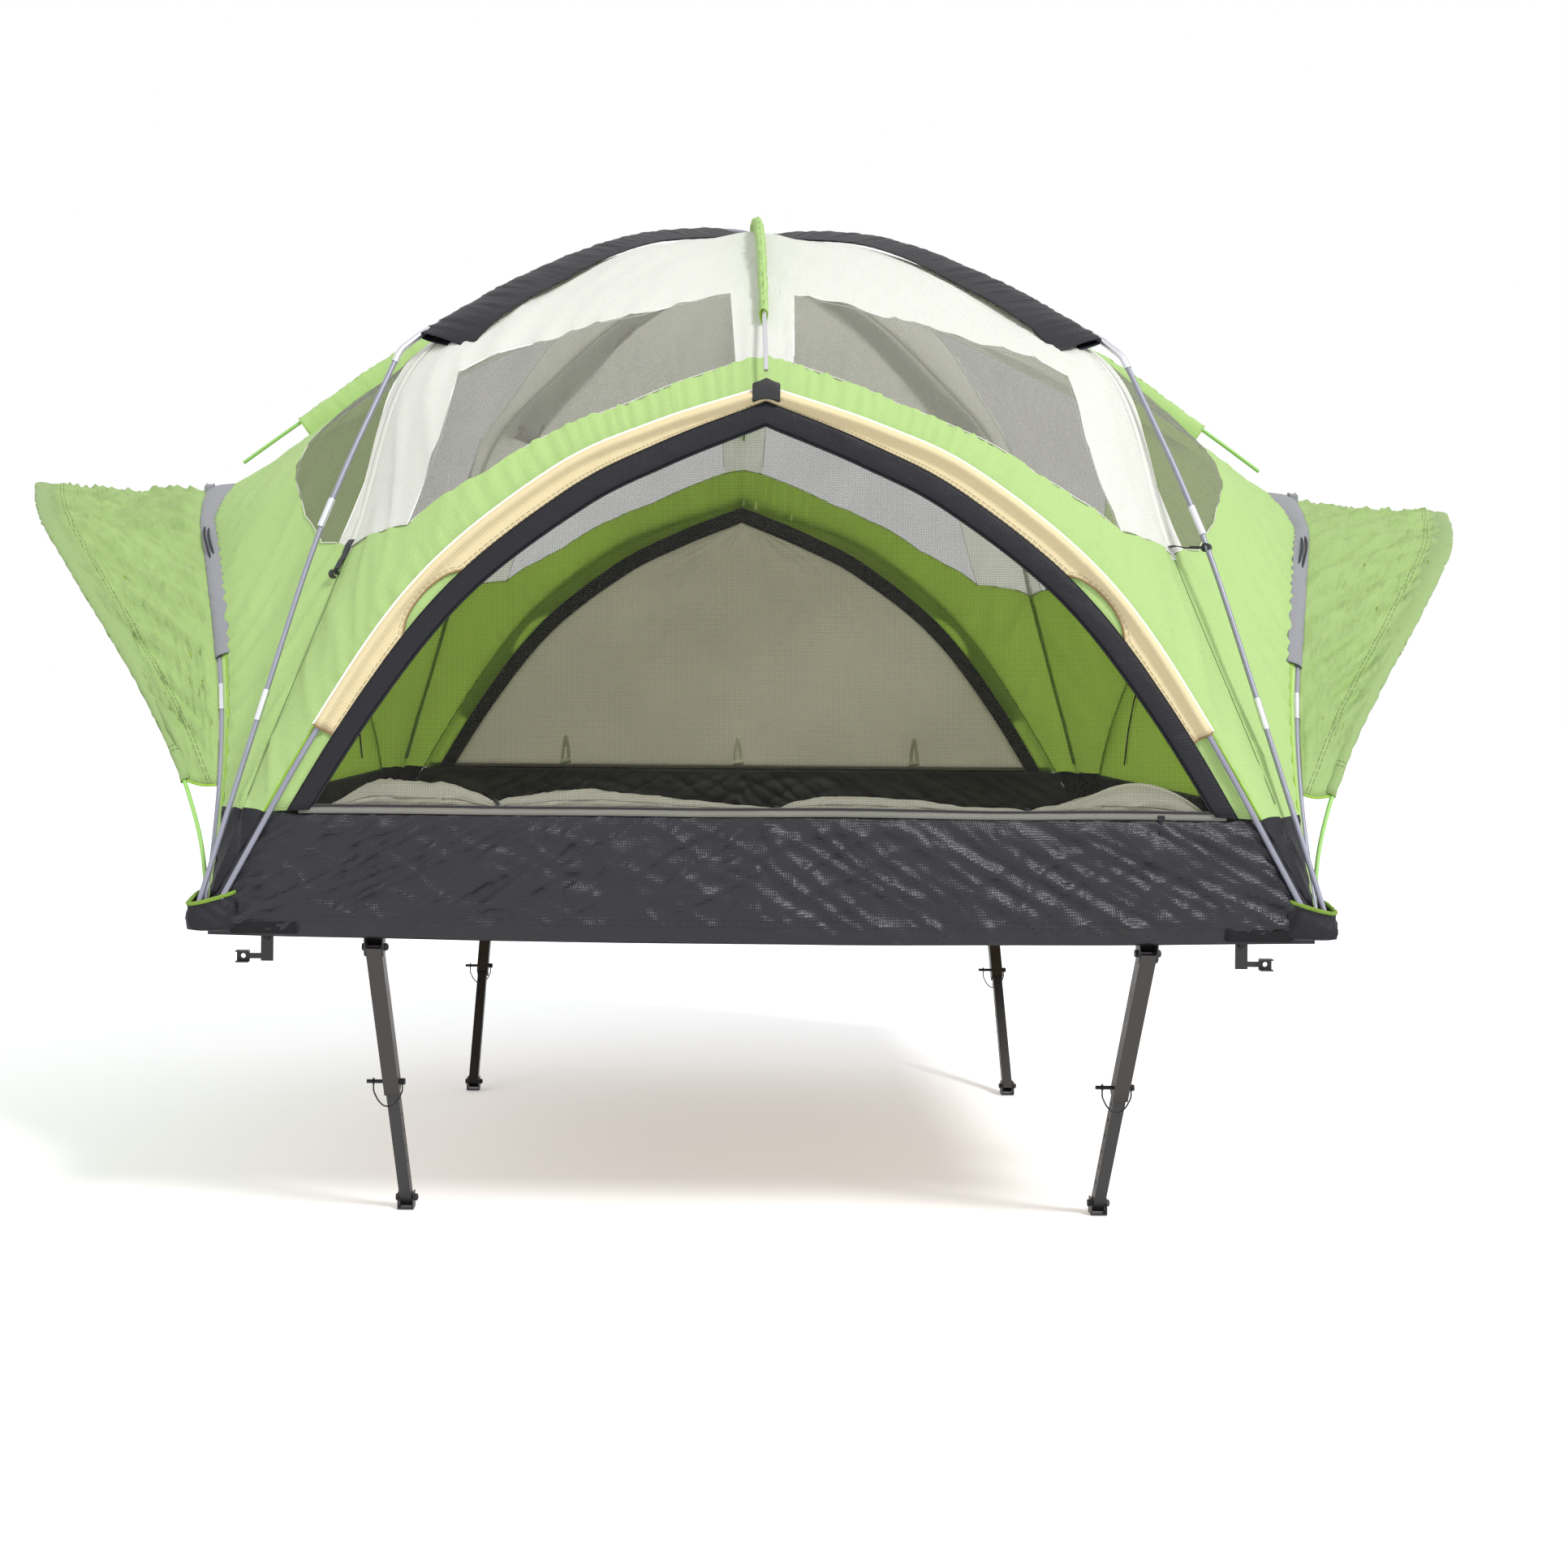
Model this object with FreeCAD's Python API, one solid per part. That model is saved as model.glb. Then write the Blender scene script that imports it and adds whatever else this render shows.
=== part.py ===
"""Screen house that stands on a utility trailer: a four-pole screen tent on a folding deck, with a
shade awning at each end and four telescoping braces under the two deck wings.

Millimetres. +X runs along the trailer towards its hitch, -Y faces the screen door, +Z is up.
The origin is the centre of the deck's underside, which rests on the trailer's box.
"""

import FreeCAD
import Part
import math
import os

V = FreeCAD.Vector

# ---- deck
DECK_LENGTH = 2156.0        # along X
DECK_WIDTH = 2190.0         # along Y, with both wings folded out
TRAILER_WIDTH = 1260.0      # between the two wing hinge axes
RAIL = 30.0                 # square deck rail
RAIL_WALL = 2.0
PANEL = 12.0                # plywood
HINGE_GAP = 10.4            # between the centre deck and a wing
HINGE_LENGTH = 62.0
HINGE_LEAF = 34.0
HINGE_PLATE = 2.5
KNUCKLE_RADIUS = 4.5
HINGE_PIN_RADIUS = 2.0
HINGE_STATIONS = (-0.36, 0.0, 0.36)     # share of the deck's length
DECK_TOP = RAIL + PANEL

# ---- clearances
FIT = 0.05                  # shaft in its bore, on the radius
GAP = 0.4                   # between soft pieces and what they lie on
SEAM_GAP = 1.3              # from a seam's line to each of its two cloths

# ---- canopy
FABRIC = 2.0                # modelled thickness of a cloth panel
SKIRT_TOP = 240.0           # top of the dark lower band
FOOT_TOP = 77.0             # where the poles enter the corner pockets
DOOR_APEX = 1052.0          # cloth arch of the door walls
END_APEX = 960.0            # cloth arch of the end walls
ARCH_INSET = 14.0           # cloth arch inside the pole arch
END_BOW = 268.0             # how far an end wall leans out at its apex
END_BOW_POWER = 2.6
ROOF_PEAK = 1587.0          # cloth at the crown
DOOR_RIDGE_RISE = 153.0     # cloth bulge along the ridges, above the straight line
END_RIDGE_RISE = 104.0
SCREEN_X = 0.905            # screen outline as a share of the cloth arch
SCREEN_TRIM_TOP = 55.0     # dark trim between the screen's apex and the cloth arch's
SILL_SEAM = 5.0             # strip between the skirt and the screen

# ---- poles
POLE_RADIUS = 5.5
RIDGE_RADIUS = 4.5
FERRULE_RADIUS = 7.2
FERRULE_LENGTH = 65.0
POLE_OFFSET = 12.0          # pole plane outside the cloth walls
POLE_FOOT = 30.0            # height of the pole ends in the pockets
CROWN = 1630.0              # upper diagonal pole's centre line at the crown
CROWN_RUN = 40.0            # level run of every pole on each side of the crown
CROSSING = 0.6              # clearance where poles cross
RIDGE_DROP_IN = 11.0        # a ridge pole's end above the arch pole it meets
CAP_WIDTH = 50.0
CAP_HEIGHT = 34.0
CAP_DEPTH = 22.0

LEG_JOINTS = (842.0, 447.0)  # heights of the ferrules on a diagonal pole's legs
HOOP_JOINT = 460.0          # and on an end hoop
ELBOW_TOP = 1239.0          # the bend of a diagonal pole's elbow
ELBOW_LOW = 1200.0
ELBOW_REACH = 30.0          # elbow tube beyond its bend, each way
FOOT_STEP = 28.0            # diagonal poles' feet outside the deck's ends
SHORT_SIDE = 17.0           # by which the diagonals run shorter along Y than the deck does

# Curves over the deck: (share of the deck's half length or width, height).
CROWN_SHAPE = ((0.26531, 1556.0), (0.48237, 1413.0), (0.67718, ELBOW_TOP))
LEG_SHAPE = ((0.71058, ELBOW_LOW), (0.83024, LEG_JOINTS[0]), (0.92764, LEG_JOINTS[1]))
SEAM_LOW = ((0.91280, 370.0),)
SEAM_HIGH = ((0.68831, 1165.0), (0.48237, 1368.0), (0.26531, 1511.0))
LONG_RIDGE_SHAPE = ((0.39889, 1530.0), (0.78200, 1345.0), (1.02783, 1168.0))
CROSS_RIDGE_SHAPE = ((0.50685, 1511.0), (0.91324, 1201.0))

# Half outline of every pole arch, foot to apex, as shares of its half width and height.
ARCH_SHAPE = ((1.0, 0.0), (0.793, 0.387), (0.613, 0.649), (0.382, 0.844), (0.200, 0.932), (0.0, 1.0))

# ---- pole clips at the canopy's shoulders
SHOULDER_SHARE = 0.78386    # of the deck's half length and width
SHOULDER_Z = 790.0
CLIP_STANDOFF = 4.5
LOOSE_CLIP_LEAN = 0.59397   # outwards for each unit down, where the clip hangs free
LOOSE_CLIP_REACH = 84.0

# ---- awnings: how far each hoop reaches beyond its end wall, and its apex height
AWNING = {"left": (700.0, 985.0), "right": (652.0, 940.0)}
AWNING_POWER = 1.6
AWNING_FOOT_STEP = 24.0     # awning hoop's foot beside the end hoop's
AWNING_HEM = 2              # points of the hoop's line below the awning's hem
AWNING_PIVOT = 46.0         # height of the hoop's pivot in its pocket

# ---- braces
BRACE_X = 757.0
BRACE_PIVOT_Y = 1080.0      # from the centre
BRACE_PIVOT_DROP = 24.0     # below the deck
BRACE_FOOT_Y = 631.0
BRACE_FOOT_DROP = 631.0
OUTER_TUBE = 31.75
INNER_TUBE = 25.4
TUBE_WALL = 2.0
TUBE_HEAD = 9.0             # outer tube above its pivot
OUTER_SHARE = 0.545         # end of the outer tube, as a share of the brace
PIN_TO_END = 26.0           # lock pin above the outer tube's end
OVERLAP = 84.0              # inner tube inside the outer one
HOLE_PITCH = 50.0
HOLE_COUNT = 7
LOCK_PIN_RADIUS = 4.0
LOCK_PIN_REACH = 52.0       # from the brace's middle to the pin's tip
BAIL_WIRE = 1.6
BAIL_DROP = 52.0
BOLT_RADIUS = 4.0
CLEVIS_PLATE = 3.0
FOOT_PLATE = 3.0
FOOT_WEB_DROP = 20.0        # foot bolt to the foot's web
FOOT_EAR_RISE = 13.0

# ---- mounting brackets
BRACKET_INSET = 10.0        # bracket's middle inside the deck's end
BRACKET_WIDTH = 27.0
BRACKET_PLATE = 4.0
BRACKET_DROP = 117.0
BRACKET_BOLT_DROP = 63.0
CLIP_REACH = 42.0           # clip's middle beyond the deck's end
CLIP_DROP = 106.0
CLIP_WIDTH = 28.0
CLIP_HEIGHT = 26.0
CLIP_HOLE_RADIUS = 5.25
CLIP_PLATE = 3.0

# ---- pockets
POCKET_TOP = 74.0
POCKET_BOTTOM = 12.0
POCKET_LEG = 78.0
POCKET_DEPTH = 22.0

# ---- worked out from the above
HALF_X = DECK_LENGTH / 2
HALF_Y = DECK_WIDTH / 2
WALL_X = HALF_X + GAP + FABRIC / 2
WALL_Y = HALF_Y + GAP + FABRIC / 2
POLE_X = WALL_X + POLE_OFFSET
POLE_Y = WALL_Y + POLE_OFFSET
DOOR_ARCH_HALF = HALF_X - 4.0       # door arch pole, half width at its foot
END_HOOP_HALF = HALF_Y - 13.0
HINGE_Y = TRAILER_WIDTH / 2
SHOULDER = SHOULDER_SHARE * HALF_X
BRACKET_X = HALF_X - BRACKET_INSET
CLIP_X = HALF_X + CLIP_REACH
DIAGONAL_SLANT = (HALF_Y - SHORT_SIDE) / HALF_X     # a diagonal pole's run along Y for its run along X
SCREEN_Z = (DOOR_APEX - SCREEN_TRIM_TOP - SKIRT_TOP) / (DOOR_APEX - SKIRT_TOP)
SIDES = {"left": -1, "right": 1}
ENDS = {"near": -1, "far": 1}


# ---------------------------------------------------------------- helpers

def box(x0, x1, y0, y1, z0, z1):
    """A box between two corners, given in any order."""
    low = V(min(x0, x1), min(y0, y1), min(z0, z1))
    return Part.makeBox(abs(x1 - x0), abs(y1 - y0), abs(z1 - z0), low)


def rod(start, end, radius):
    """A cylinder between two points."""
    axis = end - start
    return Part.makeCylinder(radius, axis.Length, start, axis)


def hex_prism(start, axis, across, height):
    """A hexagon head, across its flats."""
    turn = FreeCAD.Rotation(V(0, 0, 1), axis)
    corner = across / math.sqrt(3)
    angles = [math.radians(60 * i) for i in range(7)]
    points = [start + turn.multVec(V(corner * math.cos(a), corner * math.sin(a), 0)) for a in angles]
    return Part.Face(Part.makePolygon(points)).extrude(axis * height)


def smooth(points, steps, before=None):
    """Points of a Catmull-Rom curve through the given ones, with steps spans in each interval.

    The curve leaves its first point as if it came from the point before, if one is given.
    """
    first = points[0] * 2 - points[1] if before is None else before
    ends = [first] + list(points) + [points[-1] * 2 - points[-2]]
    out = []
    for a, b, c, d in zip(ends, ends[1:], ends[2:], ends[3:]):
        for i in range(steps):
            t = i / steps
            out.append((b * 2 + (c - a) * t + (a * 2 - b * 5 + c * 4 - d) * t ** 2
                        + (b * 3 - a - c * 3 + d) * t ** 3) * 0.5)
    return out + [points[-1]]


def rounded_path(points):
    """Straight runs joined by tangent arcs, each as large as its two runs allow."""
    edges = []
    at = points[0]
    for before, corner, after in zip(points, points[1:], points[2:]):
        a = (before - corner)
        b = (after - corner)
        reach = 0.45 * min(a.Length, b.Length)
        a.normalize()
        b.normalize()
        half = a.getAngle(b) / 2
        if math.pi / 2 - half < 0.002:
            continue
        start = corner + a * reach
        end = corner + b * reach
        radius = reach * math.tan(half)
        middle = (a + b).normalize()
        crown = corner + middle * (radius / math.sin(half) - radius)
        edges.append(Part.LineSegment(at, start).toShape())
        edges.append(Part.Arc(start, crown, end).toShape())
        at = end
    edges.append(Part.LineSegment(at, points[-1]).toShape())
    return Part.Wire(edges)


def tube(points, radius):
    """A round bar along a rounded path."""
    path = rounded_path(points)
    ring = Part.Wire(Part.Circle(points[0], points[1] - points[0], radius).toShape())
    return path.makePipeShell([ring], True, False)


def sheet(grid, thickness=FABRIC):
    """A closed cloth panel of even thickness over a grid of points."""
    rows = len(grid)
    cols = len(grid[0])
    front = []
    back = []
    for i in range(rows):
        for j in range(cols):
            along = grid[min(i + 1, rows - 1)][j] - grid[max(i - 1, 0)][j]
            across = grid[i][min(j + 1, cols - 1)] - grid[i][max(j - 1, 0)]
            normal = along.cross(across).normalize()
            front.append(grid[i][j] + normal * (thickness / 2))
            back.append(grid[i][j] - normal * (thickness / 2))
    shift = rows * cols
    facets = []
    for i in range(rows - 1):
        for j in range(cols - 1):
            a = i * cols + j
            b, c, d = a + 1, a + cols + 1, a + cols
            facets += [(a, b, c), (a, c, d)]
            facets += [(shift + c, shift + b, shift + a), (shift + d, shift + c, shift + a)]
    rim = [j for j in range(cols)]
    rim += [i * cols + cols - 1 for i in range(1, rows)]
    rim += [(rows - 1) * cols + j for j in range(cols - 2, -1, -1)]
    rim += [i * cols for i in range(rows - 2, 0, -1)]
    for a, b in zip(rim, rim[1:] + rim[:1]):
        facets += [(b, a, a + shift), (b, a + shift, b + shift)]
    shell = Part.Shape()
    shell.makeShapeFromMesh((front + back, facets), 0.01)
    solid = Part.Solid(shell.Shells[0])
    if solid.Volume < 0:
        solid.reverse()
    return solid


def wall_plate(outline, y, holes=()):
    """A cloth panel in a plane y = constant, from its (x, z) outline, with (x, z) outlines cut out."""
    def face(points):
        loop = [V(x, y - FABRIC / 2, z) for x, z in points]
        return Part.Face(Part.makePolygon(loop + loop[:1]))

    solid = face(outline).extrude(V(0, FABRIC, 0))
    for hole in holes:
        solid = solid.cut(face(hole).extrude(V(0, FABRIC, 0)))
    return solid


def square_tube(length, size, wall):
    """A square tube hanging down from z = 0, open at both ends."""
    outer = box(-size / 2, size / 2, -size / 2, size / 2, 0, -length)
    hollow = size / 2 - wall
    return outer.cut(box(-hollow, hollow, -hollow, hollow, 1, -length - 1))


def mirrored(shape, x=False, y=False):
    """A copy mirrored in the plane x = 0, in y = 0, or in both."""
    for wanted, normal in ((x, V(1, 0, 0)), (y, V(0, 1, 0))):
        if wanted:
            shape = shape.mirror(V(0, 0, 0), normal)
    return shape


def four_corners(shape):
    """The shape at the corner of +X and -Y, and its three mirror images."""
    return [mirrored(shape, x, y) for x in (False, True) for y in (False, True)]


def group(shapes):
    """Separate solids as one compound."""
    solids = [solid for shape in shapes for solid in shape.Solids]
    return Part.makeCompound(solids)


# ---------------------------------------------------------------- centre lines

def half_arch(steps=3):
    """Foot to apex, as V(share of half width, 0, share of height)."""
    return smooth([V(w, 0, h) for w, h in ARCH_SHAPE], steps)


def full_arch(place, steps=3):
    """Foot to foot: place(side, width share, height share) gives each point."""
    half = half_arch(steps)
    left = [place(-1, p.x, p.z) for p in half]
    right = [place(1, p.x, p.z) for p in half]
    return left + right[-2::-1]


def door_arch_line(end):
    """Centre line of a door arch pole."""
    apex = DOOR_APEX + ARCH_INSET
    return full_arch(lambda side, w, h: V(
        side * w * DOOR_ARCH_HALF, end * POLE_Y, POLE_FOOT + h * (apex - POLE_FOOT)))


def end_hoop_line(side):
    """Centre line of an end hoop, which leans outwards."""
    apex = END_APEX + ARCH_INSET
    return full_arch(lambda way, w, h: V(
        side * (POLE_X + END_BOW * h ** END_BOW_POWER), way * w * END_HOOP_HALF,
        POLE_FOOT + h * (apex - POLE_FOOT)))


def awning_line(name):
    """Centre line of an awning hoop."""
    reach, apex = AWNING[name]
    half = END_HOOP_HALF - AWNING_FOOT_STEP
    low = AWNING_PIVOT - 2 * RIDGE_RADIUS
    return full_arch(lambda way, w, h: V(
        SIDES[name] * (POLE_X + reach * h ** AWNING_POWER), way * w * half, low + h * (apex - low)))


def diagonal_profile(crown):
    """Half a diagonal pole, crown to foot: distance out along X, and height."""
    def spots(shape):
        return [V(share * HALF_X, 0, z) for share, z in shape]

    level = V(-CROWN_RUN, 0, crown)
    arc = smooth([V(CROWN_RUN, 0, crown)] + spots(CROWN_SHAPE), 4, level)
    leg = smooth(spots(LEG_SHAPE) + [V(HALF_X + FOOT_STEP, 0, POLE_FOOT)], 3)
    return arc + leg


def diagonal_line(way, crown):
    """Centre line of the diagonal pole from the corner (-X, -way*Y) to the corner (+X, +way*Y)."""
    half = diagonal_profile(crown)
    plus = [V(p.x, way * p.x * DIAGONAL_SLANT, p.z) for p in half]
    minus = [V(-p.x, -p.y, p.z) for p in plus]
    return minus[::-1] + plus


def seam_profile():
    """Half a corner seam of the canopy, foot to crown: distance out along X, and height."""
    low = [V(HALF_X - 1.0, 0, FOOT_TOP)] + [V(share * HALF_X, 0, z) for share, z in SEAM_LOW]
    high = [V(share * HALF_X, 0, z) for share, z in SEAM_HIGH]
    return smooth(low + [V(SHOULDER, 0, SHOULDER_Z)] + high + [V(0, 0, ROOF_PEAK)], 4)


def ridge_line(along_x):
    """Centre line of a ridge pole, from one wall apex over the crown to the other."""
    lower = CROWN - 3 * POLE_RADIUS - RIDGE_RADIUS - 2 * CROSSING
    upper = CROWN + POLE_RADIUS + RIDGE_RADIUS + CROSSING
    if along_x:
        half = [V(CROWN_RUN, 0, lower)] + [V(share * HALF_X, 0, z) for share, z in LONG_RIDGE_SHAPE]
        half.append(V(POLE_X + END_BOW, 0, END_APEX + ARCH_INSET + RIDGE_DROP_IN))
    else:
        half = [V(0, CROWN_RUN, upper)] + [V(0, share * HALF_Y, z) for share, z in CROSS_RIDGE_SHAPE]
        half.append(V(0, POLE_Y, DOOR_APEX + ARCH_INSET + RIDGE_DROP_IN))
    level = V(-half[0].x, -half[0].y, half[0].z)
    half = smooth(half, 3, level)
    other = [V(-p.x, -p.y, p.z) for p in half]
    return other[::-1] + half


# ---------------------------------------------------------------- deck

def rail(start, end):
    """A square rail between two points of its centre line, along X or Y."""
    axis = end - start
    bar = square_tube(axis.Length, RAIL, RAIL_WALL)
    bar.Placement = FreeCAD.Placement(start, FreeCAD.Rotation(V(0, 0, -1), axis))
    return bar


def rail_section(y0, y1, stations):
    """Two long rails with cross rails butted between them."""
    z = RAIL / 2
    rails = []
    for y in (y0 + RAIL / 2, y1 - RAIL / 2):
        rails.append(rail(V(-HALF_X, y, z), V(HALF_X, y, z)))
    for x in stations:
        rails.append(rail(V(x, y0 + RAIL, z), V(x, y1 - RAIL, z)))
    return rails


def hinge_places():
    """Each wing hinge as (x, side of the deck)."""
    return [(share * DECK_LENGTH, side) for side in (-1, 1) for share in HINGE_STATIONS]


def deck_panel(y0, y1):
    """A plywood panel with recesses for the hinge leaves."""
    panel = box(-HALF_X, HALF_X, y0, y1, RAIL, DECK_TOP)
    for x, side in hinge_places():
        half = HINGE_LENGTH / 2 + GAP
        reach = HINGE_LEAF + GAP
        y = side * HINGE_Y
        panel = panel.cut(box(x - half, x + half, y - reach, y + reach,
                              DECK_TOP - HINGE_PLATE - 0.1, DECK_TOP + 1))
    return panel


def hinge_leaves(x, side):
    """The two leaves of a wing hinge, with alternate knuckles."""
    y = side * HINGE_Y
    z = DECK_TOP - KNUCKLE_RADIUS
    knuckle = HINGE_LENGTH / 5
    leaves = []
    for way, numbers in ((-1, (0, 2, 4)), (1, (1, 3))):
        plate = box(x - HINGE_LENGTH / 2, x + HINGE_LENGTH / 2, y, y + way * HINGE_LEAF,
                    DECK_TOP - HINGE_PLATE, DECK_TOP)
        room = rod(V(x - HINGE_LENGTH, y, z), V(x + HINGE_LENGTH, y, z), KNUCKLE_RADIUS + 0.3)
        leaf = plate.cut(room)
        for i in numbers:
            x0 = x - HINGE_LENGTH / 2 + i * knuckle
            leaf = leaf.fuse(rod(V(x0 + 0.15, y, z), V(x0 + knuckle - 0.15, y, z), KNUCKLE_RADIUS))
            leaf = leaf.fuse(box(x0 + 0.15, x0 + knuckle - 0.15, y, y + way * (KNUCKLE_RADIUS + 1),
                                 DECK_TOP - HINGE_PLATE, DECK_TOP))
        bore = rod(V(x - HINGE_LENGTH, y, z), V(x + HINGE_LENGTH, y, z), HINGE_PIN_RADIUS + FIT)
        leaves.append(leaf.cut(bore).removeSplitter())
    return leaves


def hinge_pin(x, side):
    """The pin of a wing hinge."""
    z = DECK_TOP - KNUCKLE_RADIUS
    half = HINGE_LENGTH / 2
    return rod(V(x - half, side * HINGE_Y, z), V(x + half, side * HINGE_Y, z), HINGE_PIN_RADIUS)


def make_deck():
    """Centre deck, two wings, their rails and hinges."""
    inner = HINGE_Y - HINGE_GAP / 2
    outer = HINGE_Y + HINGE_GAP / 2
    edge = HALF_X - RAIL / 2
    parts = {
        "centre_deck_panel": deck_panel(-inner, inner),
        "wing_panels": group([deck_panel(-HALF_Y, -outer), deck_panel(outer, HALF_Y)]),
        "centre_deck_rails": group(rail_section(-inner, inner, (-edge, -edge / 2, 0, edge / 2, edge))),
    }
    stations = (-edge, -BRACE_X, 0, BRACE_X, edge)
    wings = rail_section(-HALF_Y, -outer, stations) + rail_section(outer, HALF_Y, stations)
    parts["wing_rails"] = group(wings)
    parts["wing_hinges"] = group([leaf for x, side in hinge_places() for leaf in hinge_leaves(x, side)])
    parts["wing_hinge_pins"] = group([hinge_pin(x, side) for x, side in hinge_places()])
    return parts


# ---------------------------------------------------------------- mounting brackets

def bracket():
    """Strap below the deck's corner with an outward arm and a U-shaped clip, at +X and -Y."""
    y1 = -(HINGE_Y - HINGE_GAP / 2)
    y0 = y1 - BRACKET_PLATE
    half = BRACKET_WIDTH / 2
    strap = box(BRACKET_X - half, BRACKET_X + half, y0, y1, -BRACKET_DROP, 0)
    strap = strap.fuse(box(BRACKET_X - half, HALF_X - 1, y0, y1, 0, RAIL - 2))
    arm = box(BRACKET_X, CLIP_X, y0, y1, -CLIP_DROP - 6, -CLIP_DROP + 6)
    clip = box(CLIP_X - CLIP_WIDTH / 2, CLIP_X + CLIP_WIDTH / 2, y0, y1,
               -CLIP_DROP - CLIP_HEIGHT / 2, -CLIP_DROP + CLIP_HEIGHT / 2)
    for way in (-1, 1):
        edge = -CLIP_DROP + way * CLIP_HEIGHT / 2
        clip = clip.fuse(box(CLIP_X - CLIP_WIDTH / 2, CLIP_X + CLIP_WIDTH / 2, y0 - 16, y1,
                             edge, edge - way * CLIP_PLATE))
    hole = rod(V(CLIP_X, y0 - 30, -CLIP_DROP), V(CLIP_X, y1 + 30, -CLIP_DROP), CLIP_HOLE_RADIUS)
    bolt = rod(V(BRACKET_X, y0 - 30, -BRACKET_BOLT_DROP), V(BRACKET_X, y1 + 30, -BRACKET_BOLT_DROP),
               BOLT_RADIUS + FIT)
    return strap.fuse(arm).fuse(clip).cut(hole).cut(bolt).removeSplitter()


def bracket_bolt():
    """Hexagon bolt and washer through a mounting bracket."""
    face = -(HINGE_Y - HINGE_GAP / 2) - BRACKET_PLATE
    z = -BRACKET_BOLT_DROP
    washer = rod(V(BRACKET_X, face, z), V(BRACKET_X, face - 1.6, z), 2 * BOLT_RADIUS)
    shank = rod(V(BRACKET_X, face - 1.6, z), V(BRACKET_X, face + 26, z), BOLT_RADIUS)
    washer = washer.cut(rod(V(BRACKET_X, face - 3, z), V(BRACKET_X, face + 3, z), BOLT_RADIUS + FIT))
    head = hex_prism(V(BRACKET_X, face - 1.6, z), V(0, -1, 0), 13.0, 5.3)
    return [head.fuse(shank), washer]


# ---------------------------------------------------------------- braces

def brace_angle():
    """Lean of a brace from the vertical, in degrees."""
    return math.degrees(math.atan2(BRACE_PIVOT_Y - BRACE_FOOT_Y, BRACE_FOOT_DROP - BRACE_PIVOT_DROP))


def brace_length():
    """From the top pivot to the foot bolt."""
    return math.hypot(BRACE_PIVOT_Y - BRACE_FOOT_Y, BRACE_FOOT_DROP - BRACE_PIVOT_DROP)


def outer_length():
    """From the top pivot to the outer tube's open end."""
    return OUTER_SHARE * brace_length()


def pin_drop():
    """From the top pivot to the lock pin."""
    return outer_length() - PIN_TO_END


def clevis():
    """Two ears and a plate under a wing rail; the pivot is at the origin."""
    half = OUTER_TUBE / 2 + 0.5
    ears = []
    for way in (-1, 1):
        ear = box(way * half, way * (half + CLEVIS_PLATE), -15, 15, -BOLT_RADIUS - 4, BRACE_PIVOT_DROP)
        ears.append(ear.fuse(rod(V(way * half, 0, -4), V(way * (half + CLEVIS_PLATE), 0, -4), 15)))
    plate = box(-half - CLEVIS_PLATE, half + CLEVIS_PLATE, -15, 15,
                BRACE_PIVOT_DROP - CLEVIS_PLATE + 1.5, BRACE_PIVOT_DROP)
    body = ears[0].fuse(ears[1]).fuse(plate)
    bore = rod(V(-40, 0, 0), V(40, 0, 0), BOLT_RADIUS + FIT)
    return body.cut(bore).removeSplitter()


def cross_bolt(half_grip):
    """Hexagon bolt and nut along X, with the grip centred on the origin."""
    shank = rod(V(-half_grip, 0, 0), V(half_grip + 8, 0, 0), BOLT_RADIUS)
    head = hex_prism(V(-half_grip - FIT, 0, 0), V(-1, 0, 0), 13.0, 5.3)
    shank = shank.fuse(rod(V(-half_grip - 1, 0, 0), V(-half_grip, 0, 0), BOLT_RADIUS))
    nut = hex_prism(V(half_grip + FIT, 0, 0), V(1, 0, 0), 13.0, 6.5)
    return head.fuse(shank).fuse(nut).removeSplitter()


def outer_tube():
    """Upper tube of a brace, hung from its pivot."""
    bar = square_tube(outer_length() + TUBE_HEAD, OUTER_TUBE, TUBE_WALL)
    bar.translate(V(0, 0, TUBE_HEAD))
    for drop, radius in ((0, BOLT_RADIUS), (pin_drop(), LOCK_PIN_RADIUS)):
        bar = bar.cut(rod(V(-40, 0, -drop), V(40, 0, -drop), radius + FIT))
    return bar


def inner_tube():
    """Lower tube of a brace, with its row of adjusting holes."""
    length = brace_length() - outer_length() + OVERLAP
    top = outer_length() - OVERLAP
    bar = square_tube(length + 12, INNER_TUBE, TUBE_WALL)
    bar.translate(V(0, 0, -top))
    for i in range(HOLE_COUNT):
        z = -pin_drop() - i * HOLE_PITCH
        bar = bar.cut(rod(V(-40, 0, z), V(40, 0, z), LOCK_PIN_RADIUS + FIT))
    return bar.cut(rod(V(-40, 0, -brace_length()), V(40, 0, -brace_length()), BOLT_RADIUS + FIT))


def lock_pin():
    """Pin along X with its grooved head on +X, at the origin."""
    face = OUTER_TUBE / 2 + 1.0
    pin = rod(V(-LOCK_PIN_REACH, 0, 0), V(face + 10, 0, 0), LOCK_PIN_RADIUS)
    for x0, x1 in ((face, face + 3), (face + 7.5, face + 11)):
        pin = pin.fuse(rod(V(x0, 0, 0), V(x1, 0, 0), LOCK_PIN_RADIUS + 2.5))
    return pin.removeSplitter()


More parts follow.
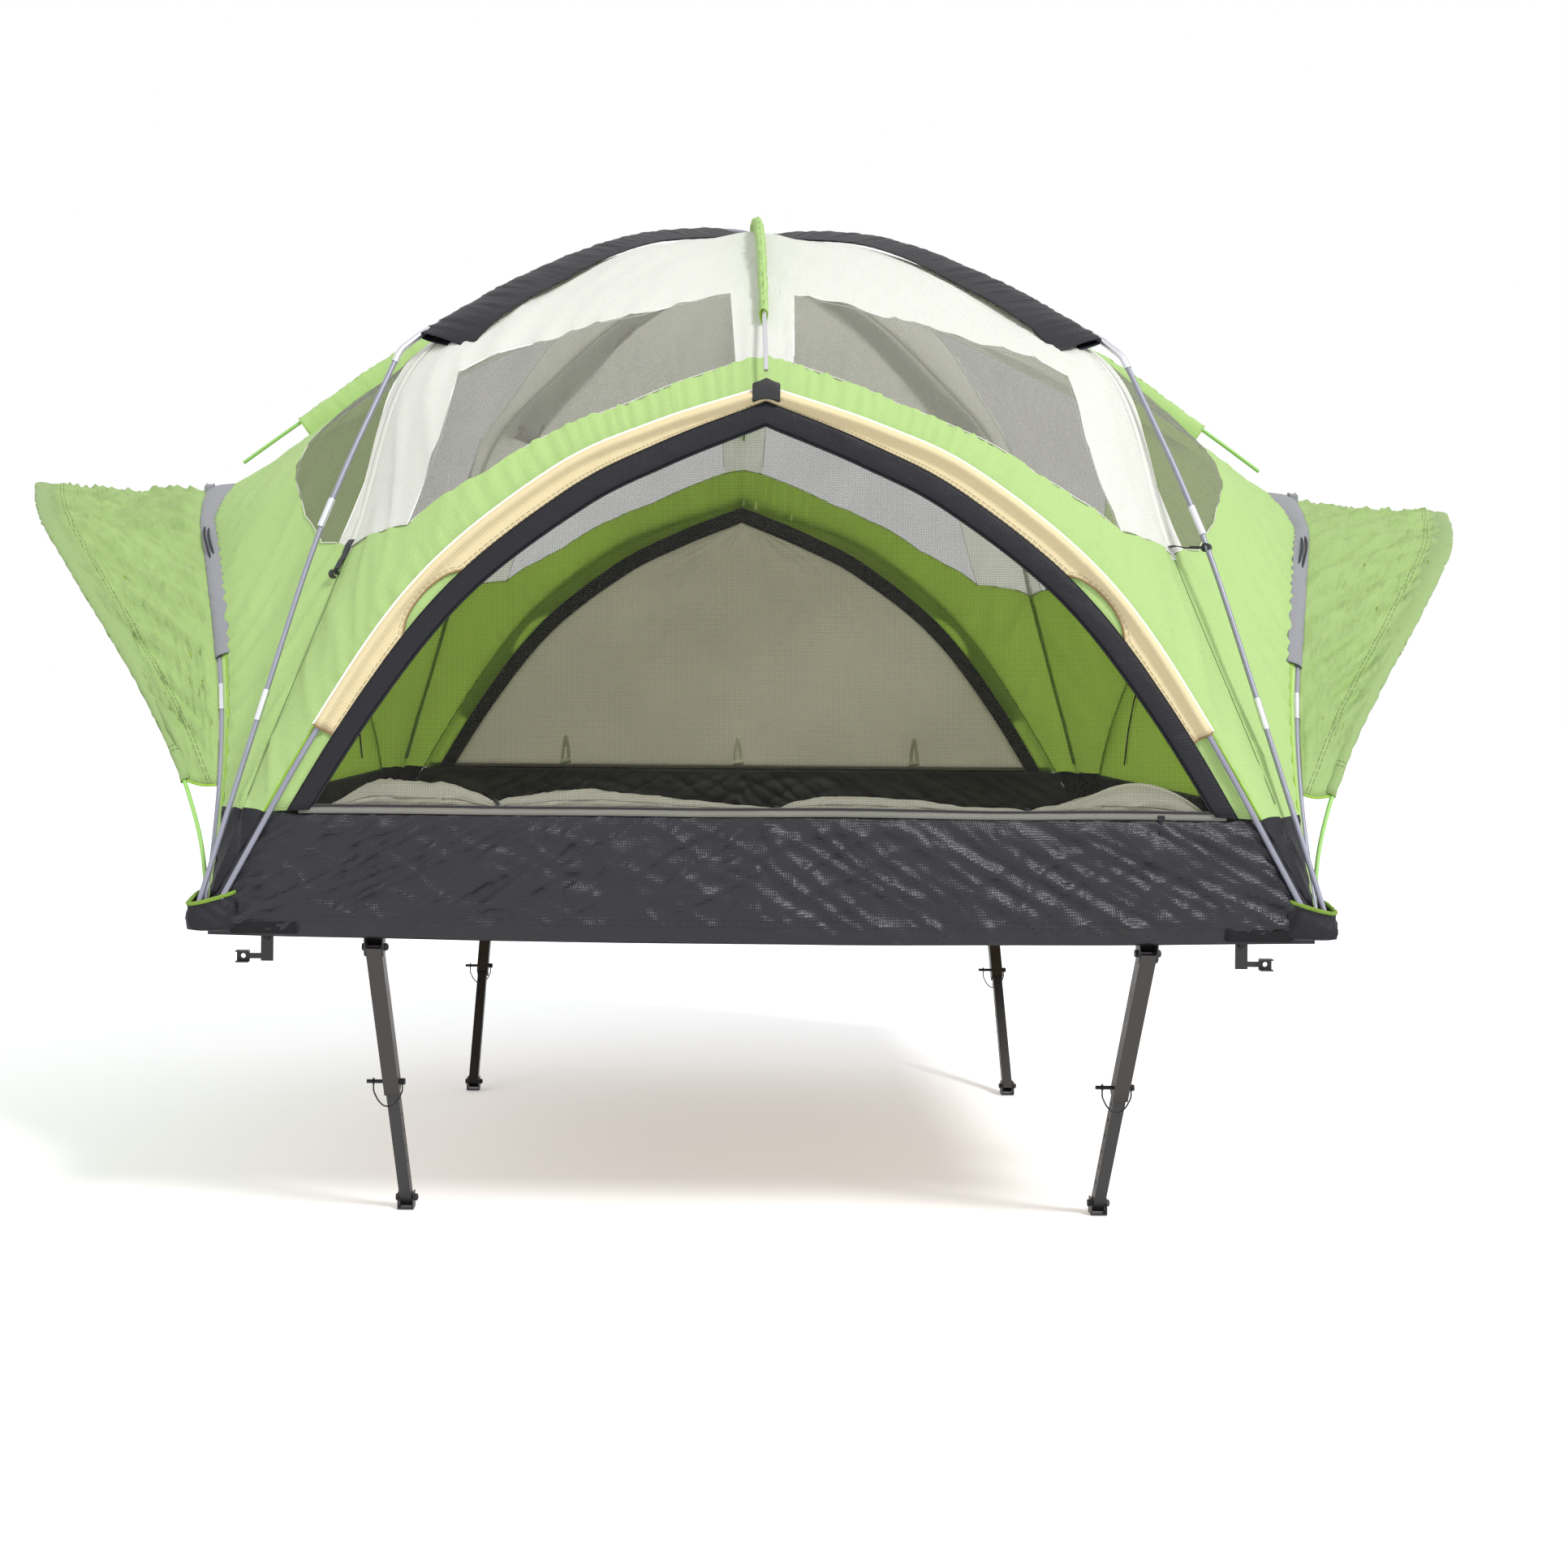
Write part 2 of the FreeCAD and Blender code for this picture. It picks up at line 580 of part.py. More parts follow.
def bail():
    """Wire bail that hangs in a D below the lock pin, with an eye round each end of it."""
    head = OUTER_TUBE / 2 + 1.0 + 5.25
    tip = -LOCK_PIN_REACH + 14
    eye = LOCK_PIN_RADIUS + BAIL_WIRE + 0.4
    middle = (head + tip) / 2
    half = (head - tip) / 2
    path = [V(tip, 0, -eye), V(tip, 0, -20), V(tip + half * 0.3, 0, -39), V(middle - 8, 0, -BAIL_DROP),
            V(middle + 8, 0, -BAIL_DROP), V(head - half * 0.3, 0, -39), V(head, 0, -20), V(head, 0, -eye)]
    loop = tube(path, BAIL_WIRE)
    for x in (tip, head):
        loop = loop.fuse(Part.makeTorus(eye, BAIL_WIRE, V(x, 0, 0), V(1, 0, 0)))
    return loop.removeSplitter()


def brace_foot():
    """U-shaped foot around the inner tube's end; its bolt is at the origin."""
    half = INNER_TUBE / 2 + 2.0
    wide = 17.0
    sides = []
    for way in (-1, 1):
        ear = box(way * half, way * (half + FOOT_PLATE), -wide, wide, -FOOT_WEB_DROP - FOOT_PLATE, 0)
        cap = box(way * half, way * (half + FOOT_PLATE), -12, 12, 0, FOOT_EAR_RISE)
        sides.append(ear.fuse(cap))
    web = box(-half - FOOT_PLATE, half + FOOT_PLATE, -wide, wide, -FOOT_WEB_DROP - FOOT_PLATE, -FOOT_WEB_DROP)
    body = sides[0].fuse(sides[1]).fuse(web).cut(rod(V(-40, 0, 0), V(40, 0, 0), BOLT_RADIUS + FIT))
    return body.removeSplitter()


def place_brace(shape, side, end, drop=0.0, upright=False):
    """Moves a piece from the brace's own frame, pivot at the origin, to its place under a wing."""
    moved = shape.copy()
    lean = 0.0 if upright else brace_angle()
    along = math.radians(brace_angle())
    moved.rotate(V(0, 0, 0), V(1, 0, 0), lean)
    moved.translate(V(0, drop * math.sin(along), -drop * math.cos(along)))
    moved.translate(V(side * BRACE_X, -BRACE_PIVOT_Y, -BRACE_PIVOT_DROP))
    return mirrored(moved, y=end > 0)


def make_braces():
    """Four telescoping braces, with clevises and bolts."""
    parts = {}
    clevises = []
    bolts = []
    for end_name, end in ENDS.items():
        for side_name, side in SIDES.items():
            name = end_name + "_" + side_name
            clevises.append(place_brace(clevis(), side, end, upright=True))
            bolts.append(place_brace(cross_bolt(OUTER_TUBE / 2 + 0.5 + CLEVIS_PLATE), side, end))
            parts[name + "_brace_outer_tube"] = place_brace(outer_tube(), side, end)
            foot_bolt = place_brace(
                cross_bolt(INNER_TUBE / 2 + 2.0 + FOOT_PLATE), side, end, brace_length())
            parts[name + "_brace_inner_tube"] = group(
                [place_brace(inner_tube(), side, end), foot_bolt])
            parts[name + "_brace_foot"] = place_brace(
                brace_foot(), side, end, brace_length(), upright=True)
            parts[name + "_lock_pin"] = place_brace(lock_pin(), side, end, pin_drop())
            parts[name + "_lock_pin_bail"] = place_brace(bail(), side, end, pin_drop(), upright=True)
    parts["brace_clevises"] = group(clevises)
    for piece in bracket_bolt():
        bolts += four_corners(piece)
    parts["deck_bolts"] = group(bolts)
    parts["mounting_brackets"] = group(four_corners(bracket()))
    return parts


# ---------------------------------------------------------------- poles

def station(points, target_z):
    """Point and direction where a rising centre line passes a height."""
    for a, b in zip(points, points[1:]):
        if min(a.z, b.z) <= target_z < max(a.z, b.z):
            share = (target_z - a.z) / (b.z - a.z)
            return a + (b - a) * share, (b - a).normalize()
    raise ValueError("no such height")


def jointed(line, heights):
    """A pole cut into sections where its ferrules stand."""
    pole = tube(line, POLE_RADIUS)
    for half in (line[:len(line) // 2 + 1], line[len(line) // 2:][::-1]):
        for z in heights:
            point, along = station(half, z)
            pole = pole.cut(rod(point - along * 0.5, point + along * 0.5, POLE_RADIUS * 2))
    return pole


def ferrules(line, heights):
    """Metal sleeves round a pole's joints."""
    room = tube(line, POLE_RADIUS + FIT)
    out = []
    for half in (line[:len(line) // 2 + 1], line[len(line) // 2:][::-1]):
        for z in heights:
            point, along = station(half, z)
            reach = along * (FERRULE_LENGTH / 2)
            out.append(rod(point - reach, point + reach, FERRULE_RADIUS).cut(room))
    return out


def elbows(line):
    """Bent metal tubes at a diagonal pole's shoulders."""
    room = tube(line, POLE_RADIUS + FIT)
    out = []
    for half in (line[:len(line) // 2 + 1], line[len(line) // 2:][::-1]):
        for i, point in enumerate(half):
            if abs(point.z - ELBOW_TOP) < 0.5:
                bend = half[i - 1:i + 1]
        up = (bend[1] - bend[0]).normalize()
        before = half[half.index(bend[0]) - 1]
        after = half[half.index(bend[1]) + 1]
        low = bend[0] + (before - bend[0]).normalize() * ELBOW_REACH
        high = bend[1] + (after - bend[1]).normalize() * ELBOW_REACH
        out.append(tube([low, bend[0], bend[1], high], FERRULE_RADIUS).cut(room))
    return out


def cap(centre, along_x, poles):
    """Cap at a wall's apex that holds the arch pole and the ridge pole's end."""
    x, y = (CAP_WIDTH / 2, CAP_DEPTH / 2) if along_x else (CAP_DEPTH / 2, CAP_WIDTH / 2)
    body = box(centre.x - x, centre.x + x, centre.y - y, centre.y + y,
               centre.z - CAP_HEIGHT * 0.42, centre.z + CAP_HEIGHT * 0.58)
    for line, radius in poles:
        body = body.cut(tube(line, radius + 0.3))
    return body


def swing_room(name):
    """Slots that an awning hoop's feet need in the pockets over their swing."""
    line = awning_line(name)
    side = SIDES[name]
    half = RIDGE_RADIUS * 1.2 + 1.2
    out = []
    for start, above in ((line[0], line[1]), (line[-1], line[-2])):
        slope = (above.y - start.y) / (above.z - start.z)
        low = -2.5
        high = POCKET_TOP - start.z + 2
        x = side * (POLE_X - RIDGE_RADIUS - 3)
        corners = [V(x, start.y + slope * z + way * half, start.z + z)
                   for way, z in ((-1, low), (1, low), (1, high), (-1, high))]
        face = Part.Face(Part.makePolygon(corners + corners[:1]))
        out.append(face.extrude(V(side * (2 * RIDGE_RADIUS + 12), 0, 0)))
    return out


def corner_pocket(side, end, poles):
    """Pouch outside a corner of the skirt that takes four pole feet."""
    x0 = side * (WALL_X + FABRIC / 2 + GAP)
    y0 = end * (WALL_Y + FABRIC / 2 + GAP)
    x1 = x0 + side * (POCKET_DEPTH + 14)
    y1 = y0 + end * POCKET_DEPTH
    leg = box(x1 - side * (POCKET_LEG + 8), x1, y0, y1, POCKET_BOTTOM, POCKET_TOP)
    flank = box(x0, x1, y1 - end * (POCKET_LEG + 12), y1, POCKET_BOTTOM, POCKET_TOP)
    body = leg.fuse(flank).removeSplitter()
    for pole in poles:
        body = body.cut(pole)
    return body


def make_poles():
    """Diagonal, arch, hoop and ridge poles, with what joins and holds them."""
    low_crown = CROWN - 2 * POLE_RADIUS - CROSSING
    diagonals = {"diagonal_pole_a": diagonal_line(1, CROWN), "diagonal_pole_b": diagonal_line(-1, low_crown)}
    doors = {end: door_arch_line(way) for end, way in ENDS.items()}
    hoops = {side: end_hoop_line(way) for side, way in SIDES.items()}
    long_ridge = ridge_line(True)
    cross_ridge = ridge_line(False)
    parts = {}
    fittings = []
    bends = []
    for name, line in diagonals.items():
        pole = jointed(line, LEG_JOINTS)
        fittings += ferrules(line, LEG_JOINTS)
        bends += elbows(line)
        parts[name] = pole
    for end, line in doors.items():
        parts[end + "_door_arch_pole"] = tube(line, POLE_RADIUS)
    for side, line in hoops.items():
        parts[side + "_end_hoop"] = jointed(line, (HOOP_JOINT,))
        fittings += ferrules(line, (HOOP_JOINT,))
    parts["pole_fittings"] = group(fittings + bends)
    parts["long_ridge_pole"] = tube(long_ridge[1:-1], RIDGE_RADIUS)
    parts["cross_ridge_pole"] = tube(cross_ridge[1:-1], RIDGE_RADIUS)
    for name in AWNING:
        parts[name + "_awning_hoop"] = tube(awning_line(name), RIDGE_RADIUS)
    caps = []
    for end, way in ENDS.items():
        centre = V(0, way * POLE_Y, DOOR_APEX + ARCH_INSET)
        caps.append(cap(centre, True, [(doors[end], POLE_RADIUS), (cross_ridge, RIDGE_RADIUS)]))
    for side, way in SIDES.items():
        centre = V(way * (POLE_X + END_BOW), 0, END_APEX + ARCH_INSET)
        caps.append(cap(centre, False, [(hoops[side], POLE_RADIUS), (long_ridge, RIDGE_RADIUS)]))
    parts["arch_caps"] = group(caps)
    pockets = []
    for side_name, side in SIDES.items():
        for end_name, end in ENDS.items():
            lines = [doors[end_name], hoops[side_name], *diagonals.values()]
            rooms = [tube(line, POLE_RADIUS + 0.3) for line in lines] + swing_room(side_name)
            pockets.append(corner_pocket(side, end, rooms))
    parts["corner_pockets"] = group(pockets)
    return parts


# ---------------------------------------------------------------- canopy

def spaced(points, count):
    """The same curve as count + 1 points, evenly spaced along its length."""
    runs = [(b - a).Length for a, b in zip(points, points[1:])]
    total = sum(runs)
    out = [points[0]]
    walked = 0.0
    wanted = total / count
    for a, b, run in zip(points, points[1:], runs):
        while len(out) < count and walked + run >= wanted * len(out):
            out.append(a + (b - a) * ((wanted * len(out) - walked) / run))
        walked += run
    return out + [points[-1]]


def door_cloth_arch(end):
    """Edge of a door wall, half, foot to apex, on the +X side."""
    half = DOOR_ARCH_HALF - ARCH_INSET / 2
    return [V(p.x * half, end * WALL_Y, FOOT_TOP + p.z * (DOOR_APEX - FOOT_TOP)) for p in half_arch()]


def end_cloth_arch(side):
    """Edge of an end wall, half, foot to apex, on the +Y side."""
    half = END_HOOP_HALF
    return [V(side * (WALL_X + END_BOW * p.z ** END_BOW_POWER), p.x * half,
              FOOT_TOP + p.z * (END_APEX - FOOT_TOP)) for p in half_arch()]


def canopy_panel(edge, seam, rise, rungs=7):
    """Cloth between a wall's arch and the corner seams, bulged along the ridge.

    edge and seam run from the foot to the middle; the other half is their mirror image.
    """
    mirror_x = abs(edge[0].y - edge[-1].y) < 1
    spans = len(edge) - 1
    lows = [edge[0] + (edge[1] - edge[0]) * 0.12] + edge[1:]
    highs = spaced(seam, spans)
    highs[0] = highs[0] + (highs[1] - highs[0]) * 0.12
    half = []
    for i, (low, high) in enumerate(zip(lows, highs)):
        step = (high - low).normalize() * SEAM_GAP
        rung = []
        for j in range(rungs + 1):
            t = j / rungs
            point = low + step + (high - low - step * 2) * t
            lift = rise * 4 * t * (1 - t) * (i / spans) ** 1.5
            rung.append(point + V(0, 0, lift))
        half.append(rung)
    other = [[V(-p.x, p.y, p.z) if mirror_x else V(p.x, -p.y, p.z) for p in rung] for rung in half]
    return sheet(half + other[-2::-1])


def make_canopy():
    """Four canopy panels, four walls, the skirt, the floor and the rolled door."""
    parts = {}
    seam = seam_profile()
    for name, end in ENDS.items():
        line = [V(p.x, end * (p.x * WALL_Y / WALL_X), p.z) for p in seam]
        parts[name + "_canopy_panel"] = canopy_panel(door_cloth_arch(end), line, DOOR_RIDGE_RISE)
    for name, side in SIDES.items():
        line = [V(side * p.x, p.x * WALL_Y / WALL_X, p.z) for p in seam]
        parts[name + "_canopy_panel"] = canopy_panel(end_cloth_arch(side), line, END_RIDGE_RISE)
    parts.update(door_walls())
    parts.update(end_walls())
    parts["skirt"] = skirt()
    floor = FABRIC + DECK_TOP + GAP
    parts["tent_floor"] = box(-HALF_X + 4, HALF_X - 4, -HALF_Y + 4, HALF_Y - 4, DECK_TOP + GAP, floor)
    return parts


def above(outline, z):
    """The part of a closed (x, z) arch outline above a height, from foot to foot."""
    out = []
    for (xa, za), (xb, zb) in zip(outline, outline[1:]):
        if (za < z) != (zb < z):
            out.append((xa + (xb - xa) * (z - za) / (zb - za), z))
        if zb >= z:
            out.append((xb, zb))
    return out


def door_walls():
    """The screen wall and the door wall, each with the panel inside its trim."""
    half = [(p.x, p.z) for p in door_cloth_arch(1)]
    full = [(x, z) for x, z in half] + [(-x, z) for x, z in half[-2::-1]]
    wall = above(full, SKIRT_TOP + GAP)
    opening = [(x * SCREEN_X, SKIRT_TOP + (z - SKIRT_TOP) * SCREEN_Z) for x, z in wall]
    opening = above(opening, SKIRT_TOP + SILL_SEAM)
    parts = {}
    for name, end, inner in (("near", -1, "screen_door"), ("far", 1, "far_door_panel")):
        parts[name + "_wall"] = wall_plate(wall, end * WALL_Y, [opening])
        middle = SKIRT_TOP + SILL_SEAM
        fill = [(x * (1 - GAP / 600), middle + GAP + (z - middle) * (1 - 2 * GAP / 700)) for x, z in opening]
        parts[inner] = wall_plate(fill, end * WALL_Y)
    return parts


def end_walls():
    """The two bowed walls under the awnings."""
    parts = {}
    for name, side in SIDES.items():
        edge = [p for p in end_cloth_arch(side) if p.z > SKIRT_TOP + 5]
        rows = [V(edge[0].x, edge[0].y + 12, SKIRT_TOP + GAP)] + edge[:-1]
        grid = []
        for p in rows:
            reach = p.y - 1.6
            grid.append([V(p.x, reach * (j / 6 - 1), p.z - 1.0 * (p.z > SKIRT_TOP + 5)) for j in range(13)])
        tip = edge[-1]
        grid.append([V(tip.x, 14 * (j / 6 - 1), tip.z - 3) for j in range(13)])
        parts[name + "_end_wall"] = sheet(grid)
    return parts


def strip_outline(edge, arch):
    """Half outline of a skirt strip: (out, up) points from its lower corner to its upper one."""
    foot = FOOT_TOP - GAP
    out = [(edge, 0), (edge, foot), (arch[0][0] - SEAM_GAP, foot)]
    for (ya, za), (yb, zb) in zip(arch, arch[1:]):
        if za < SKIRT_TOP <= zb:
            return out + [(ya + (yb - ya) * (SKIRT_TOP - za) / (zb - za), SKIRT_TOP)]
        out.append((yb, zb))
    return out


def skirt():
    """Four strips round the deck's edge, up to the dark band's top."""
    half = strip_outline(WALL_X + FABRIC / 2, [(p.x, p.z) for p in door_cloth_arch(1)])
    outline = half + [(-x, z) for x, z in half[::-1]]
    strips = [wall_plate(outline, end * WALL_Y) for end in (-1, 1)]
    half = strip_outline(WALL_Y - FABRIC / 2 - GAP, [(p.y, p.z) for p in end_cloth_arch(1)])
    loop = [V(0, y, z) for y, z in half] + [V(0, -y, z) for y, z in half[::-1]]
    plate = Part.Face(Part.makePolygon(loop + loop[:1])).extrude(V(FABRIC, 0, 0))
    for way in (-1, 1):
        strip = plate.copy()
        strip.translate(V(way * WALL_X - FABRIC / 2, 0, 0))
        strips.append(strip)
    return group(strips)


# ---------------------------------------------------------------- awnings and small pieces

def awning_cloth(name, rungs=5):
    """Cloth between an end hoop and its awning hoop, from the hem up and over."""
    inner = end_hoop_line(SIDES[name])[AWNING_HEM:-AWNING_HEM]
    outer = awning_line(name)[AWNING_HEM:-AWNING_HEM]
    grid = []
    for i, (low, high) in enumerate(zip(inner, outer)):
        along = (high - low).normalize()
        hoop = (outer[min(i + 1, len(outer) - 1)] - outer[max(i - 1, 0)]).normalize()
        lean = along.cross(hoop).Length
        a = low + along * (CAP_DEPTH / 2 + 3 * FABRIC)
        b = high - along * ((RIDGE_RADIUS + FABRIC + 3 * GAP) / lean)
        grid.append([a + (b - a) * (j / rungs) for j in range(rungs + 1)])
    return sheet(grid)


def pole_clip(hooked):
    """Webbing strap and plastic hook at the canopy's shoulder, at the corner +X, -Y."""
    shoulder = V(SHOULDER, -SHOULDER * WALL_Y / WALL_X, SHOULDER_Z)
    corner = V(1, -DIAGONAL_SLANT, 0).normalize()
    top = shoulder + corner * CLIP_STANDOFF
    if hooked:
        pole = [V(p.x, -p.x * DIAGONAL_SLANT, p.z) for p in diagonal_profile(CROWN)][::-1]
        out = station(pole, SHOULDER_Z + 6)[0] - top
        reach = out.Length - POLE_RADIUS - 1.2
        out.normalize()
    else:
        out = (corner * LOOSE_CLIP_LEAN + V(0, 0, -1)).normalize()
        reach = LOOSE_CLIP_REACH
    strap = box(0, reach * 0.55, -9, 9, -1, 1)
    hook = box(reach * 0.5, reach, -7, 7, -2.5, 2.5)
    body = strap.fuse(hook)
    body = body.cut(rod(V(reach * 0.75, 0, -9), V(reach * 0.75, 0, 9), 4.0)).removeSplitter()
    across = V(DIAGONAL_SLANT, 1, 0).normalize()
    body.Placement = FreeCAD.Placement(top, FreeCAD.Rotation(out, across, V(0, 0, 0), "XYZ"))
    return body


def zip_slider():
    """Slider on the screen's sill zip."""
    y = -(WALL_Y + FABRIC / 2 + GAP)
    x = WALL_X * 0.72
    z = SKIRT_TOP + SILL_SEAM / 2
    slider = box(x - 7, x + 7, y - 4, y, z - 5, z + 5)
    tab = box(x - 3, x + 3, y - 3.2, y - 1.2, z - 34, z - 4)
    return slider.fuse(tab).removeSplitter()


def rolled_door():
    """The door's cloth flap, rolled along the sill inside the screen."""
    y = -(WALL_Y - FABRIC / 2 - GAP - 15)
    z = SKIRT_TOP + 18
    half = WALL_X * 0.78
    return rod(V(-half, y, z), V(half, y, z), 15)


def make_soft_goods():
    """Awning cloths, pole clips, the zip slider and the rolled door."""
    parts = {name + "_awning": awning_cloth(name) for name in AWNING}
    clips = four_corners(pole_clip(True))
    parts["hooked_pole_clips"] = group([clips[0], clips[1], clips[3]])
    parts["loose_pole_clip"] = mirrored(pole_clip(False), x=True)
    parts["sill_zip_slider"] = zip_slider()
    parts["rolled_door"] = rolled_door()
    return parts


# ---------------------------------------------------------------- export

def main():
    parts = {}
    for make in (make_deck, make_braces, make_poles, make_canopy, make_soft_goods):
        parts.update(make())
    os.makedirs("parts", exist_ok=True)
    for name, shape in parts.items():
        shape.exportStep(os.path.join("parts", name + ".step"))
        print(name, len(shape.Solids), "solids", "valid" if shape.isValid() else "NOT VALID",
              round(shape.Volume / 1000, 1), "cm3")
    print(len(parts), "nodes")


main()
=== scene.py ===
"""Looks of a screen house on a utility trailer: tent cloth, trims, sleeves and finishes round its frame.

Metres. +X runs along the trailer towards its hitch, -Y faces the screen door, +Z is up.
"""

import math

import bmesh
import bpy
from mathutils import Matrix, Vector, noise


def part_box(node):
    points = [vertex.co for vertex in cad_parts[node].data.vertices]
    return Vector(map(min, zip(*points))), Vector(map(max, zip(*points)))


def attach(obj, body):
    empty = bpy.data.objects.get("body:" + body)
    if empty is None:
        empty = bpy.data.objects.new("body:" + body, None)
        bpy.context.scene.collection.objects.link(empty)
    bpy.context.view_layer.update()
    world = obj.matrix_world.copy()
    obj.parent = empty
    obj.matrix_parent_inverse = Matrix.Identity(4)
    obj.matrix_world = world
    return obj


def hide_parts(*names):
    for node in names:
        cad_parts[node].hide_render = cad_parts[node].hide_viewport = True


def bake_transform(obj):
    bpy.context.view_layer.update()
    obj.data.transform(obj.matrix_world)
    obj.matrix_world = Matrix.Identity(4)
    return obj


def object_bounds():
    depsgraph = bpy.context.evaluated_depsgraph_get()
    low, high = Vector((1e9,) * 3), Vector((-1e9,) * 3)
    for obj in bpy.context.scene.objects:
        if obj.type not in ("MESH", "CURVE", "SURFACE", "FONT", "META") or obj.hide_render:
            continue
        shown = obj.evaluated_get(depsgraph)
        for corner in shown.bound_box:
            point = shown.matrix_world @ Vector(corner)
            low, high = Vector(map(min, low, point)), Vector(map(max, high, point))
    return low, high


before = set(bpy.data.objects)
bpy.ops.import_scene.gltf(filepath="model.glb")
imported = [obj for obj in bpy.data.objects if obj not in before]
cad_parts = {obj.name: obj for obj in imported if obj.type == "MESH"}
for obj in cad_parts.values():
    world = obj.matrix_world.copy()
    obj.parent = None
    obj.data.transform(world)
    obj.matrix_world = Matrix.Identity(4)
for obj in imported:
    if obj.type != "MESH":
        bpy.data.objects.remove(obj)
CAD_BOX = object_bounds()

bl_info = {
    "name": "Trailer-top screen house",
    "version": (1, 0, 0),
    "blender": (4, 5, 0),
    "location": "View3D > Sidebar > Screen House",
    "description": "Builds the cloth, trims and finishes of a trailer-top screen house",
    "category": "Object",
}

ROOT = "tent_and_deck"
DOORS = {"near": -1, "far": 1}
ENDS = {"left": -1, "right": 1}

# ---- the frame's own dimensions
WALL_X = 1.0794
WALL_Y = 1.0964
POLE_X = 1.0914
POLE_Y = 1.1084
FOOT_TOP = 0.077
SKIRT_TOP = 0.240
POLE_FOOT = 0.030
DOOR_APEX = 1.052
END_APEX = 0.960
ARCH_INSET = 0.014
DOOR_CLOTH_HALF = 1.067
DOOR_POLE_HALF = 1.074
END_HALF = 1.082
END_BOW = 0.268
END_BOW_POWER = 2.6
DOOR_RIDGE_RISE = 0.153
END_RIDGE_RISE = 0.045
POLE_RADIUS = 0.0055
RIDGE_RADIUS = 0.0045
CROWN = 1.630
LOW_CROWN = 1.6184
SCREEN_SHARE = 0.905
SCREEN_SHARE_UP = 0.9323
SHOULDER = 0.845
SHOULDER_Z = 0.790
AWNING = {"left": (0.700, 0.985), "right": (0.652, 0.940)}
AWNING_POWER = 1.6
AWNING_HALF = 1.058
AWNING_LOW = 0.037
AWNING_HEM = 2 / 15


# ---------------------------------------------------------------- colours and sizes to change

def linear(code):
    """A colour's sRGB hex code as linear red, green and blue."""
    out = []
    for i in (1, 3, 5):
        c = int(code[i:i + 2], 16) / 255
        out.append(c / 12.92 if c <= 0.04045 else ((c + 0.055) / 1.055) ** 2.4)
    return tuple(out)


def colour_setting(name, description, code):
    """A colour that a user can change."""
    return bpy.props.FloatVectorProperty(
        name=name, description=description, subtype="COLOR", size=3, min=0, max=1, default=linear(code))


def length_setting(name, description, metres):
    """A length that a user can change."""
    return bpy.props.FloatProperty(
        name=name, description=description, unit="LENGTH", subtype="DISTANCE", min=0, default=metres)


class ScreenHouseColours(bpy.types.PropertyGroup):
    """Colours of the cloths, trims and metal."""

    green: colour_setting("Green", "Canopy, awnings and end walls", "#CBEB9C")
    cream: colour_setting("Cream", "Roof and corner bands", "#F8F8F2")
    tan: colour_setting("Tan", "Sleeves of the door arches", "#D9C9A0")
    charcoal: colour_setting("Charcoal", "Lower band, trims and roof sleeves", "#1E1E25")
    grey: colour_setting("Grey", "Sleeves of the end hoops", "#8C8C92")
    mesh: colour_setting("Mesh", "Yarn of the windows and the screen", "#96948B")
    door: colour_setting("Door", "Door panels and the rolled door", "#D6D3C2")
    binding: colour_setting("Binding", "Edge binding of the corner pockets", "#8DB33A")
    pole: colour_setting("Pole", "Pole sections", "#8A8A98")
    brace: colour_setting("Brace", "Paint of the braces", "#2A2421")


class ScreenHouseSizes(bpy.types.PropertyGroup):
    """Sizes of the details that the cloth carries."""

    cloth: length_setting("Cloth thickness", "Thickness of the coated cloth", 0.0011)
    crease: length_setting("Skirt crease", "Depth of the creases in the dark band", 0.0068)
    awning_crease: length_setting("Awning crease", "Depth of the awnings' wrinkles", 0.0150)
    trim: length_setting("Door trim", "Width of the dark trim round the screen", 0.046)
    arch_sleeve: length_setting("Arch sleeve", "Width of the tan sleeve over a door arch", 0.060)
    sill: length_setting("Sill tape", "Width of the tape along the screen's sill", 0.018)
    awning_hem: length_setting("Awning hem", "Width of the hem along an awning's hoop", 0.046)


def colours():
    """The colours in use."""
    return bpy.context.scene.screen_house_colours


def sizes():
    """The sizes in use."""
    return bpy.context.scene.screen_house_sizes


# ---------------------------------------------------------------- lines

def curve_through(points, spans, before=None):
    """Points of a Catmull-Rom curve through the given ones."""
    first = points[0] * 2 - points[1] if before is None else before
    ends = [first] + list(points) + [points[-1] * 2 - points[-2]]
    out = []
    for a, b, c, d in zip(ends, ends[1:], ends[2:], ends[3:]):
        for i in range(spans):
            t = i / spans
            out.append((b * 2 + (c - a) * t + (a * 2 - b * 5 + c * 4 - d) * t ** 2
                        + (b * 3 - a - c * 3 + d) * t ** 3) * 0.5)
    return out + [points[-1]]


def even(points, count):
    """The same line as count + 1 points an even distance apart."""
    runs = [(b - a).length for a, b in zip(points, points[1:])]
    step = sum(runs) / count
    out = [points[0]]
    walked = 0.0
    for a, b, run in zip(points, points[1:], runs):
        while len(out) < count and walked + run >= step * len(out):
            out.append(a.lerp(b, (step * len(out) - walked) / run))
        walked += run
    return out + [points[-1]]


def along(points, share):
    """The point at a share of the line's list of points."""
    place = min(max(share, 0.0), 1.0) * (len(points) - 1)
    i = min(int(place), len(points) - 2)
    return points[i].lerp(points[i + 1], place - i)


def length_of(points):
    """Length of a line of points."""
    return sum((b - a).length for a, b in zip(points, points[1:]))


